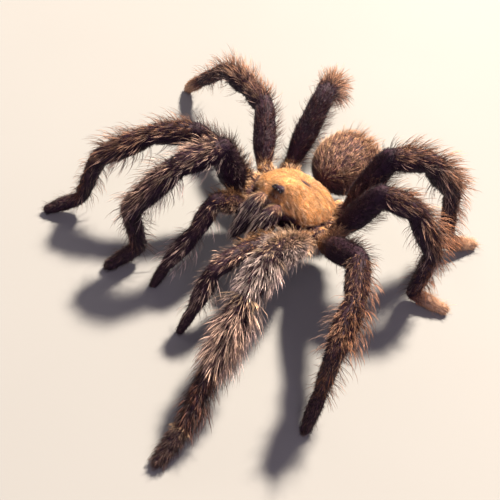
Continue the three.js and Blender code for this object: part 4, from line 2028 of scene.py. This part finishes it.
@dataclass(frozen=True)
class CoatTree:
    """The node tree that lays three layers of tufts over a bed."""

    patch_size: float = 0.003
    clump_scale: float = 1000.0
    clump_pull: float = 0.14
    usual_stand: float = 30.0
    streaks: Streaks = Streaks()
    length_range: Pair = (0.72, 1.12)
    seeds_a_layer: int = 6
    layers = {"under": "Under Tufts", "guard": "Guard Tufts", "long": "Long Tufts"}
    tips = {"under": "under_tip", "guard": "guard_tip", "long": "guard_tip"}

    def build(self) -> bpy.types.NodeTree:
        """Makes the tree, with named inputs.

        Returns:
            The tree.
        """
        tree = bpy.data.node_groups.new("lay_coat", "GeometryNodeTree")
        face = tree.interface
        face.new_socket("Bed", in_out="INPUT", socket_type="NodeSocketGeometry")
        for name, kind in (
            *((tufts, "Collection") for tufts in self.layers.values()),
            ("Fullness", "Float"),
            ("Strand Width", "Float"),
            ("Seed", "Int"),
            ("Finish", "Material"),
        ):
            face.new_socket(name, in_out="INPUT", socket_type="NodeSocket" + kind)
        face.new_socket("Coat", in_out="OUTPUT", socket_type="NodeSocketGeometry")
        graph = Graph(tree)
        given = graph.node("NodeGroupInput")
        layers = graph.node("GeometryNodeJoinGeometry")
        for number, (layer, tufts) in enumerate(self.layers.items()):
            laid = self._layer(graph, given, layer, tufts, 1 + self.seeds_a_layer * number)
            tree.links.new(laid.socket, layers.inputs[0])
        real = graph.wire("GeometryNodeRealizeInstances", {}, {"Geometry": graph.out(layers)})
        flat = graph.named("wrap") + graph.scaled(graph.named("patch"), self.patch_size)
        mapped = graph.stored(real, "OFBake", "FLOAT2", "CORNER", flat)
        for name in (*sorted(set(Coating.names()) - {"root_tint"}), "patch"):
            mapped = graph.wire("GeometryNodeRemoveAttribute", {}, {"Geometry": mapped, "Name": name})
        finish = {"Geometry": mapped, "Material": graph.out(given, "Finish")}
        graph.node("NodeGroupOutput", {}, {"Coat": graph.wire("GeometryNodeSetMaterial", {}, finish)})
        return tree

    def _layer(self, graph: Graph, given: Node, layer: str, tufts: str, seed: int) -> Wire:
        """One layer of tufts, as instances.

        Args:
            graph: Where the nodes go.
            given: The tree's input node.
            layer: The attribute that holds the layer's length, stand and density.
            tufts: The input that holds its tufts.
            seed: What is added to the tree's seed for this layer.

        Returns:
            The layer's instances.
        """
        parts = graph.node("ShaderNodeSeparateXYZ", {}, {0: graph.named(layer)})
        length, stand, density = (graph.out(parts, key) for key in ("X", "Y", "Z"))
        own_seed = graph.out(given, "Seed") + seed
        scattered = graph.node(
            "GeometryNodeDistributePointsOnFaces",
            {"distribute_method": "RANDOM"},
            {
                "Mesh": graph.out(given, "Bed"),
                "Density": density * graph.out(given, "Fullness") * (1.0 / MM**2),
                "Seed": own_seed,
            },
        )
        points, normal = graph.out(scattered, "Points"), graph.out(scattered, "Normal")
        points = graph.stored(points, "tip_tint", "FLOAT_VECTOR", "POINT", graph.named(self.tips[layer]))
        points = graph.stored(points, "strength", "FLOAT", "POINT", self._strength(graph, own_seed + 2))

        size = length * graph.chance("FLOAT", *self.length_range, own_seed + 3) * MM
        wide = size if layer == "under" else size * graph.out(given, "Strand Width")
        tufts_in = {"Collection": graph.out(given, tufts), "Separate Children": True, "Reset Children": True}
        return graph.wire(
            "GeometryNodeInstanceOnPoints",
            {},
            {
                "Points": points,
                "Instance": graph.wire("GeometryNodeCollectionInfo", {}, tufts_in),
                "Pick Instance": True,
                "Instance Index": graph.chance("INT", 0, TUFTS_OF_A_KIND - 1, own_seed + 4),
                "Rotation": self._turn(graph, stand, normal),
                "Scale": graph.wire("ShaderNodeCombineXYZ", {}, {"X": wide, "Y": wide, "Z": size}),
            },
        )

    def _strength(self, graph: Graph, seed: Wire) -> Wire:
        """How light each tuft is for its tint: mostly dark, and now and then much lighter.

        Args:
            graph: Where the nodes go.
            seed: What draws the tufts' luck.

        Returns:
            The strength of each tuft's tint.
        """
        tone = graph.node("ShaderNodeSeparateXYZ", {}, {0: graph.named("tone")})
        least, span, streaked = (graph.out(tone, key) for key in ("X", "Y", "Z"))
        streak = self.streaks.lay(graph, graph.named("grain"))
        luck = graph.chance("FLOAT", 0.0, 1.0, seed) * (1.0 - streaked) + streak * streaked
        luck = luck * luck
        return least + luck * luck * span

    def _turn(self, graph: Graph, stand: Wire, normal: Wire) -> Wire:
        """How each tuft is turned: along the lie, up from the skin, and drawn a little into clumps.

        Args:
            graph: Where the nodes go.
            stand: How far the tufts stand up, in degrees.
            normal: The skin's normal.

        Returns:
            The turn.
        """
        clump = graph.noise(graph.wire("GeometryNodeInputPosition"), self.clump_scale, 2.0, "Color")
        pull = graph.scaled(
            graph.vector("SUBTRACT", clump, (0.5, 0.5, 0.5)), stand * (self.clump_pull / self.usual_stand)
        )
        rise = graph.maths("RADIANS", stand)
        flat = graph.scaled(graph.named("lie"), graph.maths("COSINE", rise))
        heading = flat + graph.scaled(normal, graph.maths("SINE", rise))
        axes = {"primary_axis": "Z", "secondary_axis": "X"}
        inputs = {"Primary Axis": heading + pull, "Secondary Axis": normal}
        return graph.wire("FunctionNodeAxesToRotation", axes, inputs)


@dataclass
class Coat:
    """Lays the coat on a bed and makes it a plain mesh."""

    tree: bpy.types.NodeTree
    under: bpy.types.Collection
    guard: bpy.types.Collection
    long: bpy.types.Collection
    finish: bpy.types.Material
    fullness: float
    clearance: float = 0.00006

    def lay(self, name: str, bed: Piece, seed: int, width: float) -> Piece:
        """The tufts that grow on a bed.

        Args:
            name: The piece's name.
            bed: The region of skin, which is removed.
            seed: What places the tufts.
            width: How wide the strands are for their length.

        Returns:
            The coat as a plain piece.
        """
        modifier = bed.modifiers.new("coat", "NODES")
        modifier.node_group = self.tree
        sockets = {i.name: i.identifier for i in self.tree.interface.items_tree if i.in_out == "INPUT"}
        for key, value in {
            "Under Tufts": self.under,
            "Guard Tufts": self.guard,
            "Long Tufts": self.long,
            "Fullness": self.fullness,
            "Strand Width": width,
            "Seed": seed,
            "Finish": self.finish,
        }.items():
            modifier[sockets[key]] = value
        mesh = evaluated(bed, name)
        old = bed.data
        bpy.data.objects.remove(bed)
        bpy.data.meshes.remove(old)
        places = read(mesh, "co")
        places[:, 2] = np.maximum(places[:, 2], self.clearance)
        mesh.vertices.foreach_set("co", places.ravel())
        mesh.update()
        return show(name, mesh)


# ---------------- eyes, fangs, claws


@dataclass(frozen=True)
class Eye:
    """One of an animal's eight eyes: its place on the mound and its radius, in mm."""

    x: float
    y: float
    z: float
    radius: float
    pale: float = 0.0


@dataclass
class EyeGroup:
    """Eight eyes in two rows on the mound, in mm."""

    sink: float = 1.05
    eyes: tuple[Eye, ...] = (
        Eye(0.33, -0.48, 0.64, 0.26),
        Eye(0.86, -0.40, 0.46, 0.24),
        Eye(0.92, 0.12, 0.48, 0.20),
        Eye(0.62, 0.26, 0.68, 0.15, 1.0),
    )

    def build(self) -> Piece:
        """The eyes as one piece.

        Returns:
            The piece.
        """
        shapes, pale = [], []
        low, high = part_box("eye_mound")
        centre = np.array([(a + b) / 2 for a, b in zip(low, high)]) / MM - BODY_MIDDLE
        seat = np.array([0.0, centre[1], float(high[2]) / MM - self.sink])
        for eye in self.eyes:
            for side in Side:
                place = seat + np.array([side.value * eye.x, eye.y, eye.z])
                shape = ball(place, (eye.radius,) * 3, 10, 16)
                shapes.append(shape)
                pale += [eye.pale] * len(shape.points)
        piece = new_piece("eyes", joined(shapes))
        attach(piece.data, "pale", "FLOAT", np.array(pale, np.float32))
        return piece


@dataclass
class Fang:
    """A curved horn cone that folds back under its jaw, in mm."""

    jaw: Jaw
    length: float = 5.0
    radii: Pair = (0.55, 0.07)
    sweep: float = 88.0
    lean: float = 6.0
    flatness: float = 0.85
    reach: float = 0.78
    drop: float = 0.5

    def build(self) -> Piece:
        """The fang as one piece.

        Returns:
            The piece.
        """
        share = np.linspace(0.0, 1.0, 24)
        bend = self.length / math.radians(self.sweep)
        angle = share * self.length / bend
        path = columns(0.0, bend * (1 - np.cos(angle)), -bend * np.sin(angle))
        up = columns(0.0, np.cos(angle), np.sin(angle))
        sizes = self.radii[0] + (self.radii[1] - self.radii[0]) * share**0.9
        shape = tube(path, ASIDE, up, sizes * self.flatness, sizes, 18)
        pitch = math.radians(self.jaw.pitch)
        reach = self.reach * self.jaw.length
        offset = [0, -reach * math.cos(pitch), reach * math.sin(pitch) - self.jaw.half_height * self.drop]
        root = self.jaw.root + np.array(offset)
        name = f"fang_horn_{self.jaw.side.name.lower()}"
        return new_piece(name, shape.moved(turned_about_x(self.lean), root))


@dataclass
class Claws:
    """Two small hooked claws in the tip of each leg, in mm."""

    limbs: list[Limb]
    length: float = 0.85
    radius: float = 0.11
    thinning: float = 0.85
    spread_angle: float = 18.0
    hook: float = 70.0
    root_height: float = 0.28
    root_reach: float = 0.45
    clearance: float = 0.06

    def build(self) -> Piece:
        """Every claw as one piece.

        Returns:
            The piece.
        """
        shapes = []
        for limb in self.limbs:
            segment = limb.segments[-1]
            size = limb.plan.stoutness
            root = segment.start + segment.along * segment.length * limb.tip_place
            root = root + segment.up * self.root_height * size
            for sign in (-1, 1):
                turn = math.radians(self.spread_angle) * sign
                ahead = unit(segment.along * math.cos(turn) + segment.across * math.sin(turn))
                share = np.linspace(0, 1, 9)
                angle = share * math.radians(self.hook)
                bend = self.length * size / math.radians(self.hook)
                forward = (np.sin(angle) * bend)[:, None] * ahead
                drop = ((1 - np.cos(angle)) * bend)[:, None] * -segment.up
                path = root + ahead * self.root_reach * size + forward + drop
                across = unit(np.cross(ahead, segment.up))
                up = np.cos(angle)[:, None] * segment.up + np.sin(angle)[:, None] * ahead
                sizes = self.radius * size * (1 - self.thinning * share)
                shapes.append(tube(path, across, up, sizes, sizes, 8))
        shape = joined(shapes)
        shape.points[:, 2] = np.maximum(shape.points[:, 2], self.clearance)
        return new_piece("claws", shape)


# ---------------- studio


@dataclass(frozen=True)
class Lamp:
    """A soft box: where it is from the animal, its size in metres, power and colour."""

    name: str
    direction: Triple
    distance: float
    size: float
    power: float
    colour: Colour


@dataclass
class Studio:
    """The floor, the lamps and the camera."""

    target: Triple = (7.168, -8.230, 5.0)
    azimuth: float = 38.0
    elevation: float = 47.0
    roll: float = 12.0
    distance: float = 149.8
    focal: float = 870.0
    frame_side: float = 500.0
    sensor: float = 36.0
    clip: Pair = (0.005, 20.0)
    floor_half: float = 1.5
    sky: Colour = (0.95, 0.88, 1.0)
    ambient: float = 0.20
    lamps: tuple[Lamp, ...] = (
        Lamp("key_lamp", (-0.13, 0.58, 0.78), 1.30, 0.14, 72.0, (1.0, 0.90, 0.76)),
        Lamp("fill_lamp", (0.55, -0.62, 0.70), 0.70, 0.60, 2.0, (0.88, 0.76, 1.0)),
        Lamp("side_lamp", (-0.80, 0.15, 0.55), 0.70, 0.50, 0.8, (1.0, 0.95, 0.90)),
    )

    def build(self) -> None:
        """Sets up everything round the animal."""
        self._floor()
        for lamp in self.lamps:
            self._lamp(lamp)
        self._camera()
        world = bpy.data.worlds.new("studio")
        world.use_nodes = True
        sky = next(n for n in world.node_tree.nodes if n.type == "BACKGROUND")
        sky.inputs["Color"].default_value = (*self.sky, 1.0)
        sky.inputs["Strength"].default_value = self.ambient
        bpy.context.scene.world = world
        bpy.context.scene.view_settings.view_transform = "Standard"

    def _floor(self) -> None:
        """A wide level floor at height 0."""
        half = self.floor_half
        square = [(-half, -half, 0), (half, -half, 0), (half, half, 0), (-half, half, 0)]
        mesh = bpy.data.meshes.new("floor")
        mesh.from_pydata(square, [], [(0, 1, 2, 3)])
        floor = show("floor", mesh)
        mesh.materials.append(FloorFinish().material())
        floor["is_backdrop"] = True

    def _lamp(self, lamp: Lamp) -> None:
        """One soft box, aimed at the animal.

        Args:
            lamp: The soft box.
        """
        light = bpy.data.lights.new(lamp.name, "AREA")
        light.shape = "DISK"
        light.size = lamp.size
        light.energy = lamp.power
        light.color = lamp.colour
        holder = bpy.data.objects.new(lamp.name, light)
        bpy.context.scene.collection.objects.link(holder)
        aim = Vector(lamp.direction).normalized()
        holder.location = Vector(self.target) * MM + aim * lamp.distance
        holder.rotation_euler = aim.to_track_quat("Z", "Y").to_euler()

    def _camera(self) -> None:
        """The camera, turned about the animal and then about its own axis."""
        camera = bpy.data.cameras.new("camera")
        camera.sensor_width = self.sensor
        camera.lens = self.sensor * self.focal / self.frame_side
        camera.clip_start, camera.clip_end = self.clip
        holder = bpy.data.objects.new("camera", camera)
        bpy.context.scene.collection.objects.link(holder)
        a, e, r = (math.radians(v) for v in (self.azimuth, self.elevation, self.roll))
        back = Vector((math.sin(a) * math.cos(e), -math.cos(a) * math.cos(e), math.sin(e)))
        right = Vector((math.cos(a), math.sin(a), 0.0))
        up = back.cross(right)
        across = right * math.cos(r) + up * math.sin(r)
        upright = up * math.cos(r) - right * math.sin(r)
        turn = Matrix((across, upright, back)).transposed().to_4x4()
        holder.matrix_world = Matrix.Translation((Vector(self.target) + back * self.distance) * MM) @ turn
        bpy.context.scene.camera = holder


# ---------------- the animal


@dataclass
class Tarantula:
    """The whole animal, built in order."""

    limbs: list[Limb] = field(
        default_factory=lambda: [Limb(side, kind) for side in Side for kind in LIMB_PLANS]
    )
    shell: HeadShell = field(default_factory=HeadShell)
    underbody: Underbody = field(default_factory=Underbody)
    jaws: list[Jaw] = field(default_factory=lambda: [Jaw(side) for side in Side])
    hind_body: HindBody = field(default_factory=HindBody)
    skin: Skin = field(default_factory=Skin)
    quick_fullness: float = 0.45
    first_seed: int = 3
    seed_step: int = 20

    def zones(self) -> list[Zone]:
        """The regions of the skin, each with one piece of coat.

        Returns:
            The regions.
        """
        found = [
            Zone("coat_shell", self.shell.shapes(), self.shell, "shell_fur", 1.35),
            Zone("coat_underbody", self.underbody.shapes(self.limbs), self.underbody, "leg_fur", 1.5),
            Zone("coat_hind_body", self.hind_body.shapes(), self.hind_body, "abdomen_fur"),
        ]
        for jaw in self.jaws:
            found.append(Zone(f"coat_jaw_{jaw.side.name.lower()}", jaw.shapes(), jaw, "jaw_fur", 1.15))
        for limb in self.limbs:
            found.append(Zone(f"coat_{limb.name}", limb.shapes(), limb, "leg_fur", 1.3))
        return found

    def flesh_nodes(self) -> list[str]:
        """The CAD nodes that the skin stands for."""
        return [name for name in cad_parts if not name.startswith("fang")]

    def build(self) -> list[Piece]:
        """Makes every piece and says what it rides on.

        Returns:
            The pieces.
        """
        zones = self.zones()
        skin = self.skin.build(zones)
        skin.data.materials.append(SkinFinish().material())
        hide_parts(*self.flesh_nodes())
        made = [skin]

        coat = Coat(
            CoatTree().build(),
            UNDER_TUFT.collection(),
            GUARD_TUFT.collection(),
            LONG_TUFT.collection(),
            CoatFinish().material(),
            1.0,
        )
        for number, zone in enumerate(zones):
            seed = self.seed_step * number + self.first_seed
            piece = coat.lay(zone.name, self.skin.bed(skin, number), seed, zone.strand_width)
            made.append(piece)

        horn = HornFinish().material()
        eyes = EyeGroup().build()
        eyes.data.materials.append(EyeFinish().material())
        made.append(eyes)
        for jaw in self.jaws:
            fang = Fang(jaw).build()
            fang.data.materials.append(horn)
            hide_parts(f"fang_{jaw.side.name.lower()}")
            made.append(fang)
        claws = Claws([limb for limb in self.limbs if limb.kind != "palp"]).build()
        claws.data.materials.append(horn)
        made.append(claws)
        for piece in made:
            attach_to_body(piece, BODY)
        return made


def corners() -> list[list[float]]:
    """The whole object's box, as plain lists."""
    return [[float(v) for v in corner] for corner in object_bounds()]


def main() -> None:
    """Builds the animal and the studio, and reports each piece."""
    logging.basicConfig(level=logging.INFO, format="%(name)s: %(message)s")
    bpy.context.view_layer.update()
    pieces = Tarantula().build()
    total = 0
    for piece in pieces:
        piece.data.calc_loop_triangles()
        count = len(piece.data.loop_triangles)
        total += count
        LOG.info("%s: %d triangles", piece.name, count)
    LOG.info("the whole animal: %d triangles", total)
    Studio().build()


if __name__ == "__main__":
    main()
